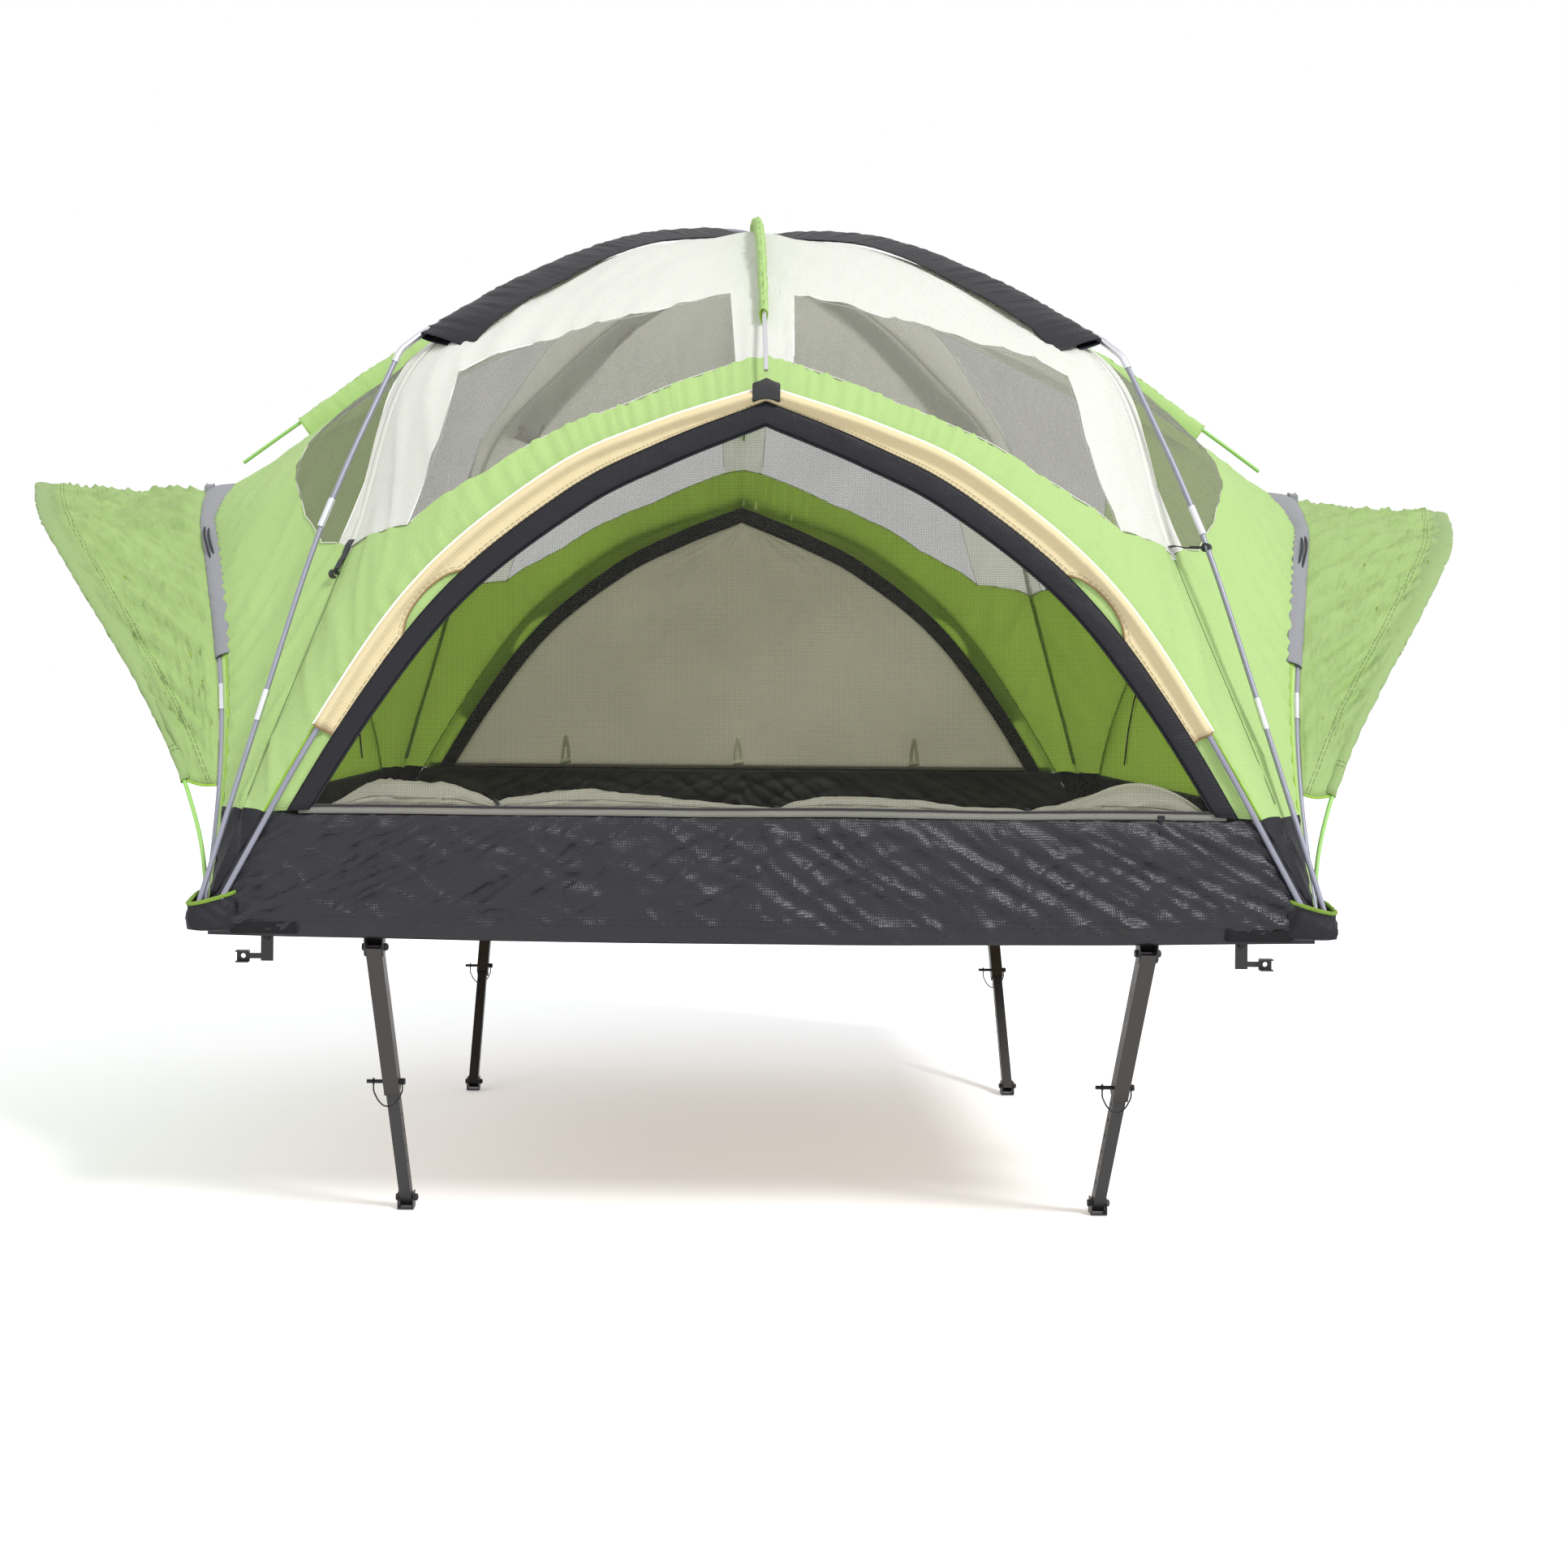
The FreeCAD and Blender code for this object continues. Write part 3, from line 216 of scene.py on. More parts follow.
# Half outline of every pole arch, foot to apex, as shares of its half width and height.
ARCH = curve_through([Vector((w, 0, h)) for w, h in (
    (1.0, 0.0), (0.793, 0.387), (0.613, 0.649), (0.382, 0.844), (0.2, 0.932), (0.0, 1.0))], 12)
SEAM = even(curve_through([Vector((out, 0, up)) for out, up in (
    (1.077, 0.077), (0.984, 0.370), (0.845, 0.790), (0.742, 1.165), (0.520, 1.368), (0.286, 1.511),
    (0.0, 1.587))], 12), 60)


def arch_share_at(height, low, apex):
    """Share of the half arch where it passes a height, for an arch from low to apex."""
    for i in range(1201):
        if low + along(ARCH, i / 1200).z * (apex - low) >= height:
            return i / 1200
    return 1.0


def half_share(u):
    """Share of the half arch, foot to apex, at a share u of the whole arch."""
    return 1 - abs(2 * u - 1)


def arch_place(u, half, low, high):
    """Place across and height on an arch of a half width between two heights, and the share of its rise."""
    p = along(ARCH, half_share(u))
    return math.copysign(p.x, u - 0.5) * half, low + p.z * (high - low), p.z


def door_cloth(end, u):
    """Point of a door wall's arched edge, u from the left foot to the right one."""
    x, z, _ = arch_place(u, DOOR_CLOTH_HALF, FOOT_TOP, DOOR_APEX)
    return Vector((x, end * WALL_Y, z))


def end_cloth(side, u):
    """Point of an end wall's arched edge, u from the near foot to the far one."""
    y, z, rise = arch_place(u, END_HALF, FOOT_TOP, END_APEX)
    return Vector((side * (WALL_X + END_BOW * rise ** END_BOW_POWER), y, z))


def door_pole(end, u):
    """Point of a door arch pole's centre line."""
    x, z, _ = arch_place(u, DOOR_POLE_HALF, POLE_FOOT, DOOR_APEX + ARCH_INSET)
    return Vector((x, end * POLE_Y, z))


def end_hoop(side, u):
    """Point of an end hoop's centre line."""
    y, z, rise = arch_place(u, END_HALF, POLE_FOOT, END_APEX + ARCH_INSET)
    return Vector((side * (POLE_X + END_BOW * rise ** END_BOW_POWER), y, z))


def awning_hoop(name, u):
    """Point of an awning hoop's centre line."""
    reach, apex = AWNING[name]
    y, z, rise = arch_place(u, AWNING_HALF, AWNING_LOW, apex)
    return Vector((ENDS[name] * (POLE_X + reach * rise ** AWNING_POWER), y, z))


def seam_point(way_x, way_y, share):
    """Point of a corner seam, share from the foot to the crown."""
    p = along(SEAM, share)
    return Vector((way_x * p.x, way_y * p.x * WALL_Y / WALL_X, p.z))


def canopy_point(name, u, t):
    """Point of a canopy panel: u from foot to foot along its arch, t from the arch to the seams."""
    share = half_share(u)
    way = 1 if u >= 0.5 else -1
    if name in DOORS:
        low = door_cloth(DOORS[name], u)
        high = seam_point(way, DOORS[name], share)
        rise = DOOR_RIDGE_RISE
    else:
        low = end_cloth(ENDS[name], u)
        high = seam_point(ENDS[name], way, share)
        rise = END_RIDGE_RISE
    point = low.lerp(high, t)
    point.z += rise * 4 * t * (1 - t) * share ** 1.5
    return point


DIAGONAL_TOP = [Vector((0.286, 0, 1.556)), Vector((0.520, 0, 1.413)), Vector((0.730, 0, 1.239))]


def diagonal_pole(way_x, way_y):
    """The sleeved part of a diagonal pole from its elbow to near the crown."""
    crown = CROWN if way_x == way_y else LOW_CROWN
    line = curve_through([Vector((0.040, 0, crown))] + DIAGONAL_TOP, 10, Vector((-0.040, 0, crown)))
    return [Vector((way_x * p.x, way_y * p.x, p.z)) for p in reversed(line)]


def ridge_pole(along_x):
    """Half a ridge pole's centre line, from near the crown to its cap."""
    if along_x:
        low = CROWN - 3 * POLE_RADIUS - RIDGE_RADIUS - 0.0012
        half = [(0.040, low), (0.430, 1.530), (0.843, 1.345), (1.108, 1.168), (1.3594, 0.985)]
    else:
        high = CROWN + POLE_RADIUS + RIDGE_RADIUS + 0.0006
        half = [(0.040, high), (0.555, 1.511), (1.000, 1.201), (1.1084, 1.077)]
    points = [Vector((out, 0, up)) for out, up in half]
    return curve_through(points, 10, Vector((-0.040, 0, points[0].z)))


# ---------------------------------------------------------------- wrinkles

def crease(x, y, seed, long, wide, turn=0.0):
    """Height of creases, 0 to 1: long one way and narrow the other, all lengths in metres."""
    c = math.cos(turn)
    s = math.sin(turn)
    n = noise.noise(Vector(((x * c + y * s) / long, (y * c - x * s) / wide, seed)))
    return (1 - min(1.0, abs(n) * 2.6)) ** 2


def swell(x, y, seed, size):
    """Soft swelling of a cloth, -1 to 1."""
    return noise.noise(Vector((x / size, y / size, seed)))


def pinned(share, reach=0.08):
    """0 at both ends of a run and 1 away from them."""
    return min(1.0, min(share, 1 - share) / reach)


# ---------------------------------------------------------------- pieces

def link(obj, materials, body=ROOT, slot=None, nodes=()):
    """Puts a finished piece in the scene, with its finish, its body and the solids that it stands for."""
    bpy.context.scene.collection.objects.link(obj)
    for name in materials:
        obj.data.materials.append(bpy.data.materials[name])
    if body:
        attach(obj, body)
    if nodes:
        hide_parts(*nodes)
    return obj


def mesh_object(name, bm, smooth=True):
    """A mesh object from a bmesh."""
    mesh = bpy.data.meshes.new(name)
    for face in bm.faces:
        face.smooth = smooth
    bm.to_mesh(mesh)
    bm.free()
    return bpy.data.objects.new(name, mesh)


def face_outward(bm, outward):
    """Turns a sheet's faces over if most of it faces inwards."""
    if sum(f.normal.dot(outward(f.calc_center_median())) * f.calc_area() for f in bm.faces) < 0:
        bmesh.ops.reverse_faces(bm, faces=bm.faces)


def add_part(bm, part):
    """Adds a bmesh to another and frees it."""
    spare = bpy.data.meshes.new("part")
    part.to_mesh(spare)
    part.free()
    bm.from_mesh(spare)
    bpy.data.meshes.remove(spare)


def facing(x, y, z=0.0):
    """The outward way of a piece that faces one way all over."""
    return lambda p: Vector((x, y, z))


def cloth(name, place, grid, flat, materials, region=None, cuts=(), wrinkle=None, outward=None,
          thickness=None, body=ROOT, slot=None, nodes=(), held="stretched", rests_on=(), tube=False,
          declare=True):
    """A sheet of cloth. grid is its count of squares across and along, and flat gives the place of a
    share (u, v) on the flat cut pattern, in metres; place gives it in the frame."""
    pattern = flat if callable(flat) else lambda u, v: (u * flat[0], v * flat[1])
    bm = bmesh.new()
    bmesh.ops.create_grid(bm, x_segments=grid[0], y_segments=grid[1], size=0.5)
    bmesh.ops.translate(bm, verts=bm.verts, vec=(0.5, 0.5, 0))
    for a, b in cuts:
        low = (min(a[0], b[0]) - 0.01, min(a[1], b[1]) - 0.03)
        high = (max(a[0], b[0]) + 0.01, max(a[1], b[1]) + 0.03)
        faces = [f for f in bm.faces if all(
            max(v.co[k] for v in f.verts) >= low[k] and min(v.co[k] for v in f.verts) <= high[k]
            for k in (0, 1))]
        edges = list({e for f in faces for e in f.edges})
        verts = list({v for f in faces for v in f.verts})
        bmesh.ops.bisect_plane(bm, geom=verts + edges + faces, dist=1e-6, plane_co=(a[0], a[1], 0),
                               plane_no=(a[1] - b[1], b[0] - a[0], 0))
    uv = bm.loops.layers.uv.new("UVMap")
    spots = []
    for face in bm.faces:
        middle = face.calc_center_median()
        face.material_index = region(middle.x, middle.y) if region else 0
        loop_uvs = []
        for loop in face.loops:
            loop[uv].uv = pattern(loop.vert.co.x, loop.vert.co.y)
            loop_uvs.append(loop[uv].uv.copy())
        spots += loop_uvs
    shares = [v.co.copy() for v in bm.verts]
    for v in bm.verts:
        v.co = place(v.co.x, v.co.y)
    bm.normal_update()
    face_outward(bm, outward)
    bm.normal_update()
    if wrinkle:
        moves = [v.normal * wrinkle(s.x, s.y) for v, s in zip(bm.verts, shares)]
        for v, move in zip(bm.verts, moves):
            v.co += move
    if tube:
        bmesh.ops.remove_doubles(bm, verts=bm.verts, dist=1e-5)
    obj = mesh_object(name, bm)
    link(obj, materials, body, slot, nodes)
    solid = obj.modifiers.new("Cloth thickness", "SOLIDIFY")
    solid.thickness = thickness or sizes().cloth
    solid.offset = 0.0
    if any(name + "_inside" in bpy.data.materials for name in materials):
        for name in materials:
            obj.data.materials.append(bpy.data.materials.get(name + "_inside", bpy.data.materials[name]))
        solid.material_offset = len(materials)
    if declare:
        list(rests_on)
    return obj


def piping(name, lines, radius, material, body=ROOT, slot=None):
    """Round cord sewn into seams, along one or more lines of points."""
    curve = bpy.data.curves.new(name, "CURVE")
    curve.dimensions = "3D"
    curve.bevel_depth = radius
    curve.bevel_resolution = 2
    curve.use_fill_caps = True
    for line in lines:
        spline = curve.splines.new("POLY")
        spline.points.add(len(line) - 1)
        for point, co in zip(spline.points, line):
            point.co = (*co, 1.0)
    obj = bpy.data.objects.new(name, curve)
    return link(obj, [material], body, slot)


TAPE_THICKNESS = 0.0008


def ribbon(name, lines, width, outward, material, slot, lift, ripple=0.0):
    """Flat tape sewn along lines of points; outward gives the way its face looks at a point."""
    bm = bmesh.new()
    uv = bm.loops.layers.uv.new("UVMap")
    for line in lines:
        made = bmesh.ops.create_grid(bm, x_segments=3, y_segments=len(line) - 1, size=0.5)["verts"]
        total = length_of(line)
        for face in {f for v in made for f in v.link_faces}:
            for loop in face.loops:
                loop[uv].uv = ((loop.vert.co.x + 0.5) * width, (loop.vert.co.y + 0.5) * total)
        for v in made:
            u = v.co.x
            share = v.co.y + 0.5
            point = along(line, share)
            ahead = (along(line, share + 0.01) - along(line, share - 0.01)).normalized()
            out = outward(point).normalized()
            side = ahead.cross(out).normalized()
            wave = ripple * swell(share * total, u, 7.3, 0.03)
            v.co = point + side * (u * width) + out * (lift + wave)
    bm.normal_update()
    face_outward(bm, outward)
    obj = mesh_object(name, bm)
    link(obj, [material], slot=slot)
    solid = obj.modifiers.new("Tape thickness", "SOLIDIFY")
    solid.thickness = TAPE_THICKNESS
    solid.offset = 1.0
    return obj


def sleeve(name, line, lower, radius, material, seed, slot, rests_on, body=ROOT, gather=0.0025, count=90):
    """Gathered sleeve: goes round a pole and closes on a seam below it. line and lower are matching
    lists of points on the pole and on the seam."""
    total = length_of(line)
    depth = sum((a - b).length for a, b in zip(line, lower)) / len(line)

    def place(u, v):
        pole = along(line, v)
        foot = along(lower, v)
        ahead = (along(line, v + 0.02) - along(line, v - 0.02)).normalized()
        down = foot - pole
        down -= ahead * down.dot(ahead)
        reach = down.length
        down.normalize()
        side = ahead.cross(down)
        turn = u * 2 * math.pi
        fall = (1 - math.cos(turn)) / 2
        wave = crease(v * total, u * 0.02, seed, 0.022, 0.03)
        wave += 0.7 * swell(v * total, u * 0.1, seed + 4, 0.02)
        swelling = gather * wave
        wide = (radius + swelling) * math.sin(turn) * (1 - 0.72 * fall ** 2)
        deep = -(radius + swelling) + (reach + radius) * fall
        return pole + side * wide + down * deep

    return cloth(name, place, (20, count), (2 * depth + 2 * radius * 1.6, total), [material],
                 outward=lambda p: p - nearest(line, p), body=body, slot=slot, held="gathered",
                 rests_on=rests_on, tube=True)


def nearest(line, point):
    """The nearest of a line's points."""
    return min(line, key=lambda p: (p - point).length_squared)


# ---------------------------------------------------------------- finishes

def add_node(tree, kind, values=None, links=None, **settings):
    """Adds a node with its settings, its socket values and its links."""
    node = tree.nodes.new(kind)
    for name, value in settings.items():
        setattr(node, name, value)
    for socket, value in (values or {}).items():
        node.inputs[socket].default_value = value
    for socket, source in (links or {}).items():
        tree.links.new(source, node.inputs[socket])
    return node


def new_material(name):
    """An empty node material and its node tree."""
    material = bpy.data.materials.new(name)
    material.use_nodes = True
    material.node_tree.nodes.clear()
    return material.node_tree


def mixed(tree, factor, first, second):
    """Colour mix of two plain linear colours by a factor."""
    return add_node(tree, "ShaderNodeMix", {6: (*first, 1), 7: (*second, 1)}, {0: factor},
                    data_type="RGBA").outputs[2]


def shade(colour, share):
    """A colour darkened to a share of its light."""
    return tuple(c * share for c in colour)


def maths(tree, operation, first, second):
    """A Math node of one link and one number or link."""
    node = add_node(tree, "ShaderNodeMath", links={0: first}, operation=operation)
    if isinstance(second, (int, float)):
        node.inputs[1].default_value = second
    else:
        tree.links.new(second, node.inputs[1])
    return node.outputs[0]


INNER_THROUGH = 0.85        # share of light that the inner face of a thin cloth lets by
RELIEF = 0.003              # height in metres that a cloth's bump is measured in


def noise_of(tree, place, scale, detail, **settings):
    """Value of a Noise texture at a place."""
    distortion = settings.pop("distortion", 0.0)
    return add_node(tree, "ShaderNodeTexNoise", {"Scale": scale, "Detail": detail, "Distortion": distortion},
                    {"Vector": place}, **settings).outputs["Fac"]


def placed(tree, source, **values):
    """Texture place of a kind, UV or Object, moved by a Mapping node's values."""
    coords = add_node(tree, "ShaderNodeTexCoord").outputs[source]
    return add_node(tree, "ShaderNodeMapping", values, {"Vector": coords}).outputs[0] if values else coords


def bumped(tree, height, strength, distance):
    """Normal of a height."""
    return add_node(tree, "ShaderNodeBump", {"Strength": strength, "Distance": distance},
                    {"Height": height}).outputs["Normal"]


def finish(tree, shader):
    """Ends a material with its shader."""
    add_node(tree, "ShaderNodeOutputMaterial", links={"Surface": shader})


def woven(name, colour, pitch, dark=0.72, roughness=0.75, through=0.0, sheen=0.1, holes=0.0, fade=0.10,
          bump=0.0006, wrinkle=0.0012, crumple=0.0, stitches=(), stitch_colour=None, gloss=0.3, inner=None):
    """Woven cloth on its flat pattern's UV map, in metres. pitch is the width of one drawn thread pair,
    holes is how open a net is, through how much light passes it, stitches the rows of stitching as
    distances across the pattern. A cloth that light passes gets a second finish for its inner face, in a
    paler colour that is partly real translucency and partly painted glow of light shining through."""
    if through and not name.endswith("_inside"):
        # Paler inner colour: painted glow of light shining through the cloth, besides the real Translucent mix.
        pale = inner or tuple(0.25 + 0.75 * c for c in colour)
        woven(name + "_inside", pale, pitch, dark, roughness, INNER_THROUGH, 0.0, 0.0, fade, bump, wrinkle)
    tree = new_material(name)
    coords = placed(tree, "UV")
    # A Wave texture's band is 0.314 wide at scale 1, so the scale is 0.314 over the pitch.
    warp, weft = (add_node(tree, "ShaderNodeTexWave", {"Scale": 0.314 / pitch}, {"Vector": coords},
                           bands_direction=way).outputs["Fac"] for way in "XY")
    weave = maths(tree, "MULTIPLY", warp, weft)
    large = noise_of(tree, coords, 5.0, 3.0)
    fine = noise_of(tree, coords, 46.0, 4.0, distortion=0.8)
    depth = maths(tree, "MULTIPLY", weave, 0.45)
    depth = maths(tree, "ADD", depth, maths(tree, "MULTIPLY", large, fade * 4))
    base = mixed(tree, depth, shade(colour, dark), colour)
    if stitches:
        split = add_node(tree, "ShaderNodeSeparateXYZ", links={0: coords})
        dash = maths(tree, "LESS_THAN", maths(tree, "PINGPONG", split.outputs[0], 0.006), 0.0045)
        for row in stitches:
            near_row = add_node(tree, "ShaderNodeMath", {1: row, 2: 0.0011}, {0: split.outputs[1]},
                                operation="COMPARE").outputs[0]
            base = add_node(tree, "ShaderNodeMix", {7: (*(stitch_colour or shade(colour, 0.45)), 1)},
                            {0: maths(tree, "MULTIPLY", near_row, dash), 6: base},
                            data_type="RGBA").outputs[2]
    height = maths(tree, "ADD", maths(tree, "MULTIPLY", weave, bump / RELIEF),
                   maths(tree, "MULTIPLY", fine, wrinkle / RELIEF))
    if crumple:
        # Sharp little creases of a coated cloth that was packed away, mostly along one slant.
        slant = placed(tree, "UV", Rotation=(0, 0, 0.55), Scale=(1.0, 2.6, 1.0))
        sharp = noise_of(tree, slant, 6.5, 3.0, distortion=0.5, noise_type="RIDGED_MULTIFRACTAL")
        height = maths(tree, "ADD", height, maths(tree, "MULTIPLY", sharp, crumple / RELIEF))
    normal = bumped(tree, height, 0.8, RELIEF)
    shader = add_node(tree, "ShaderNodeBsdfPrincipled",
                      {"Roughness": roughness, "Specular IOR Level": gloss, "Sheen Weight": sheen},
                      {"Base Color": base, "Normal": normal}).outputs[0]
    if through:
        # Light that comes through the cloth, which is what makes a tent glow from inside.
        back = add_node(tree, "ShaderNodeBsdfTranslucent", links={"Color": base, "Normal": normal}).outputs[0]
        shader = add_node(tree, "ShaderNodeMixShader", {0: through}, {1: shader, 2: back}).outputs[0]
    if holes:
        # Open net: the share of holes varies a little with the lie of the yarn.
        open_share = maths(tree, "ADD", maths(tree, "MULTIPLY", weave, 0.35), holes - 0.12)
        open_share = maths(tree, "ADD", open_share, maths(tree, "MULTIPLY", large, 0.08))
        clear = add_node(tree, "ShaderNodeBsdfTransparent").outputs[0]
        shader = add_node(tree, "ShaderNodeMixShader", links={0: open_share, 1: shader, 2: clear}).outputs[0]
    finish(tree, shader)


def solid_finish(name, colour, roughness, metallic=0.0, grain=60.0, grain_depth=0.0002, worn=0.25):
    """Metal, paint or plastic with a fine grain, in Object coordinates. worn is how far its colour and
    roughness vary."""
    tree = new_material(name)
    place = placed(tree, "Object")
    fine = noise_of(tree, place, grain * 8, 3.0)
    large = noise_of(tree, place, grain / 6, 5.0)
    base = mixed(tree, large, shade(colour, 1 - worn), tuple(min(1, c * (1 + worn * 0.6)) for c in colour))
    rough = add_node(tree, "ShaderNodeMapRange", {3: roughness - 0.08, 4: roughness + 0.12},
                     {0: large}).outputs[0]
    normal = bumped(tree, fine, 0.4, grain_depth)
    finish(tree, add_node(tree, "ShaderNodeBsdfPrincipled", {"Metallic": metallic},
                          {"Base Color": base, "Roughness": rough, "Normal": normal}).outputs[0])


def plywood_finish(name):
    """Birch plywood, rotary cut and oiled: long pale grain along the deck."""
    tree = new_material(name)
    grain = noise_of(tree, placed(tree, "Object", Scale=(1.2, 14, 60)), 4.0, 8.0, distortion=0.6)
    base = mixed(tree, grain, linear("#9C7748"), linear("#D3B585"))
    normal = bumped(tree, grain, 0.3, 0.0004)
    finish(tree, add_node(tree, "ShaderNodeBsdfPrincipled", {"Roughness": 0.62},
                          {"Base Color": base, "Normal": normal}).outputs[0])


def make_finishes():
    """Every finish of the tent, its poles, its deck and its braces."""
    c = colours()
    green, dark = tuple(c.green), tuple(c.charcoal)
    # Coated polyester taffeta, drawn at 4 mm because its 0.3 mm threads don't show at this distance.
    # Yellower, paler inner faces of the green cloths: painted glow of light shining through them, on top of their real
    # translucency.
    painted_glow_inside = linear("#DCE68C")
    woven("green_polyester_taffeta", green, 0.004, dark=0.90, roughness=0.6, through=0.40, fade=0.12,
          crumple=0.0022, inner=painted_glow_inside)
    woven("green_awning_taffeta", shade(green, 0.68), 0.004, dark=0.86, roughness=0.5, through=0.34,
          fade=0.16, wrinkle=0.0022, crumple=0.0050, stitches=(0.05, 0.058), inner=painted_glow_inside)
    woven("cream_polyester_taffeta", tuple(c.cream), 0.004, dark=0.96, roughness=0.7, through=0.42, fade=0.04,
          crumple=0.0014)
    woven("tan_sleeve_twill", tuple(c.tan), 0.005, dark=0.9, roughness=0.8, fade=0.08,
          stitches=(0.008, 0.014))
    woven("charcoal_coated_oxford", dark, 0.005, dark=0.62, roughness=0.5, sheen=0.0, fade=0.12,
          wrinkle=0.0024, crumple=0.0022, gloss=0.25)
    woven("charcoal_skirt_oxford", dark, 0.005, dark=0.60, roughness=0.38, sheen=0.0, fade=0.12,
          wrinkle=0.0024, crumple=0.0060, stitches=(0.030, 0.040), stitch_colour=linear("#0C0C0E"),
          gloss=0.40)
    woven("grey_hoop_sleeve_oxford", tuple(c.grey), 0.005, dark=0.8, roughness=0.7)
    woven("grey_beige_door_polyester", tuple(c.door), 0.006, dark=0.82, roughness=0.85, fade=0.14,
          wrinkle=0.002, through=0.55)
    # Insect netting, 1.2 mm holes drawn at 4.5 mm so that the weave shows. Both faces of a sheet are
    # drawn, so a net is as open as the square of its share of holes.
    woven("window_netting", tuple(c.mesh), 0.0045, dark=0.8, roughness=0.9, sheen=0.0, holes=0.65, fade=0.1)
    woven("screen_door_netting", shade(tuple(c.mesh), 0.30), 0.0045, dark=0.8, roughness=0.9, sheen=0.0,
          holes=0.945, fade=0.06)
    woven("black_floor_tarpaulin", linear("#26262A"), 0.006, dark=0.7, roughness=0.5, wrinkle=0.002,
          gloss=0.2)
    woven("green_binding_tape", tuple(c.binding), 0.003, dark=0.7, roughness=0.7)
    woven("grey_sill_tape", linear("#8E8C84"), 0.003, dark=0.6, roughness=0.7, stitches=(0.003, 0.009))
    woven("black_webbing", linear("#1B1B1E"), 0.003, dark=0.5, roughness=0.8, gloss=0.2)
    # Piping and thread: solid colour yarn with a fine twist.
    for name, colour, roughness, worn in (
            ("cream_piping_cord", tuple(c.cream), 0.75, 0.08),
            ("brown_binding_braid", linear("#8A6F4C"), 0.8, 0.15),
            ("green_piping_cord", tuple(c.binding), 0.75, 0.12),
            ("olive_seam_thread", linear("#66734A"), 0.8, 0.2),
            ("charcoal_piping_cord", shade(dark, 0.8), 0.7, 0.2),
            ("cream_loop_cord", linear("#DAD3C0"), 0.8, 0.2)):
        solid_finish(name, colour, roughness, grain=90, worn=worn)
    # Pultruded fibreglass poles with a satin wrap, drawn aluminium ferrules, plated steel elbows and pins.
    for name, colour, roughness, metallic, grain, worn in (
            ("grey_fibreglass_pole", tuple(c.pole), 0.42, 0.35, 50, 0.14),
            ("green_fibreglass_pole", linear("#8DBB63"), 0.42, 0.0, 50, 0.14),
            ("drawn_aluminium_ferrule", linear("#D4D4DA"), 0.3, 0.9, 80, 0.1),
            ("zinc_plated_steel", linear("#A9ABB0"), 0.38, 0.9, 60, 0.2),
            ("black_zinc_steel", linear("#26262A"), 0.4, 0.6, 60, 0.3),
            ("moulded_black_nylon", linear("#19191C"), 0.5, 0.0, 60, 0.15)):
        solid_finish(name, colour, roughness, metallic, grain, worn=worn)
    # Powder coat: low orange peel, satin.
    solid_finish("brown_black_powder_coat", tuple(c.brace), 0.42, grain=70, grain_depth=0.0004, worn=0.2)
    solid_finish("black_powder_coat", linear("#1A1A1D"), 0.4, grain=70, grain_depth=0.0004, worn=0.2)
    plywood_finish("oiled_birch_plywood")


# The frame's pieces by their finish, and the pieces of each of the four braces by theirs.
FRAME_FINISHES = {
    "oiled_birch_plywood": ("centre_deck_panel", "wing_panels"),
    "black_powder_coat": ("centre_deck_rails", "wing_rails", "brace_clevises", "mounting_brackets"),
    "zinc_plated_steel": ("wing_hinges", "wing_hinge_pins"),
    "black_zinc_steel": ("deck_bolts", "sill_zip_slider"),
    "grey_fibreglass_pole": ("diagonal_pole_a", "diagonal_pole_b", "near_door_arch_pole",
                             "far_door_arch_pole", "left_end_hoop", "right_end_hoop"),
    "drawn_aluminium_ferrule": ("pole_fittings", "cross_ridge_pole"),
    "green_fibreglass_pole": ("long_ridge_pole", "left_awning_hoop", "right_awning_hoop"),
}
BRACE_FINISHES = {
    "brown_black_powder_coat": ("brace_outer_tube",),
    "black_powder_coat": ("brace_inner_tube", "brace_foot"),
    "black_zinc_steel": ("lock_pin", "lock_pin_bail"),
}


class SCREENHOUSE_OT_finishes(bpy.types.Operator):
    """Makes the finishes and gives each piece of the frame its own"""

    bl_idname = "screen_house.finishes"
    bl_label = "Finishes"

    def execute(self, context):
        make_finishes()
        pieces = [(name, finish) for finish, names in FRAME_FINISHES.items() for name in names]
        for end in DOORS:
            for side in ENDS:
                pieces += [("_".join((end, side, name)), finish)
                           for finish, names in BRACE_FINISHES.items() for name in names]
        for name, finish in pieces:
            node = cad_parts[name]
            node.data.materials.clear()
            node.data.materials.append(bpy.data.materials[finish])
        return {"FINISHED"}


# ---------------------------------------------------------------- canopy

# Outlines on a canopy panel as (share from foot to apex, share from arch to seam).
DOOR_SEAM = ((0.867, 0.10), (0.758, 0.10), (0.65, 0.117), (0.525, 0.167), (0.475, 0.233), (0.408, 0.375))
DOOR_WINDOW = ((0.95, 0.10),) + DOOR_SEAM + ((0.508, 0.50), (0.575, 0.65), (0.675, 0.467), (0.817, 0.35),
                                             (0.95, 0.30))
DOOR_BAND = ((1.0, 0.09), (0.95, 0.10)) + DOOR_SEAM + ((0.384, 0.60), (0.370, 0.85), (0.362, 1.0))
END_SEAM = ((0.94, 0.40), (0.70, 0.42), (0.525, 0.467), (0.45, 0.567), (0.392, 0.733), (0.378, 0.883))
END_WINDOW = END_SEAM + ((0.44, 0.955), (0.50, 0.955), (0.62, 0.90), (0.94, 0.72))
END_BAND = ((1.0, 0.39),) + END_SEAM + ((0.362, 1.0),)


def inside(outline, x, y):
    """True if a point lies inside a closed outline."""
    found = False
    for (xa, ya), (xb, yb) in zip(outline, outline[1:] + outline[:1]):
        if (ya > y) != (yb > y) and x < xa + (xb - xa) * (y - ya) / (yb - ya):
            found = not found
    return found


def above_band(band, x, y):
    """True if a point is on the cream side of a band line that runs from the apex to the seam."""
    return inside(band + ((1.2, 1.0), (1.2, band[0][1])), x, y)


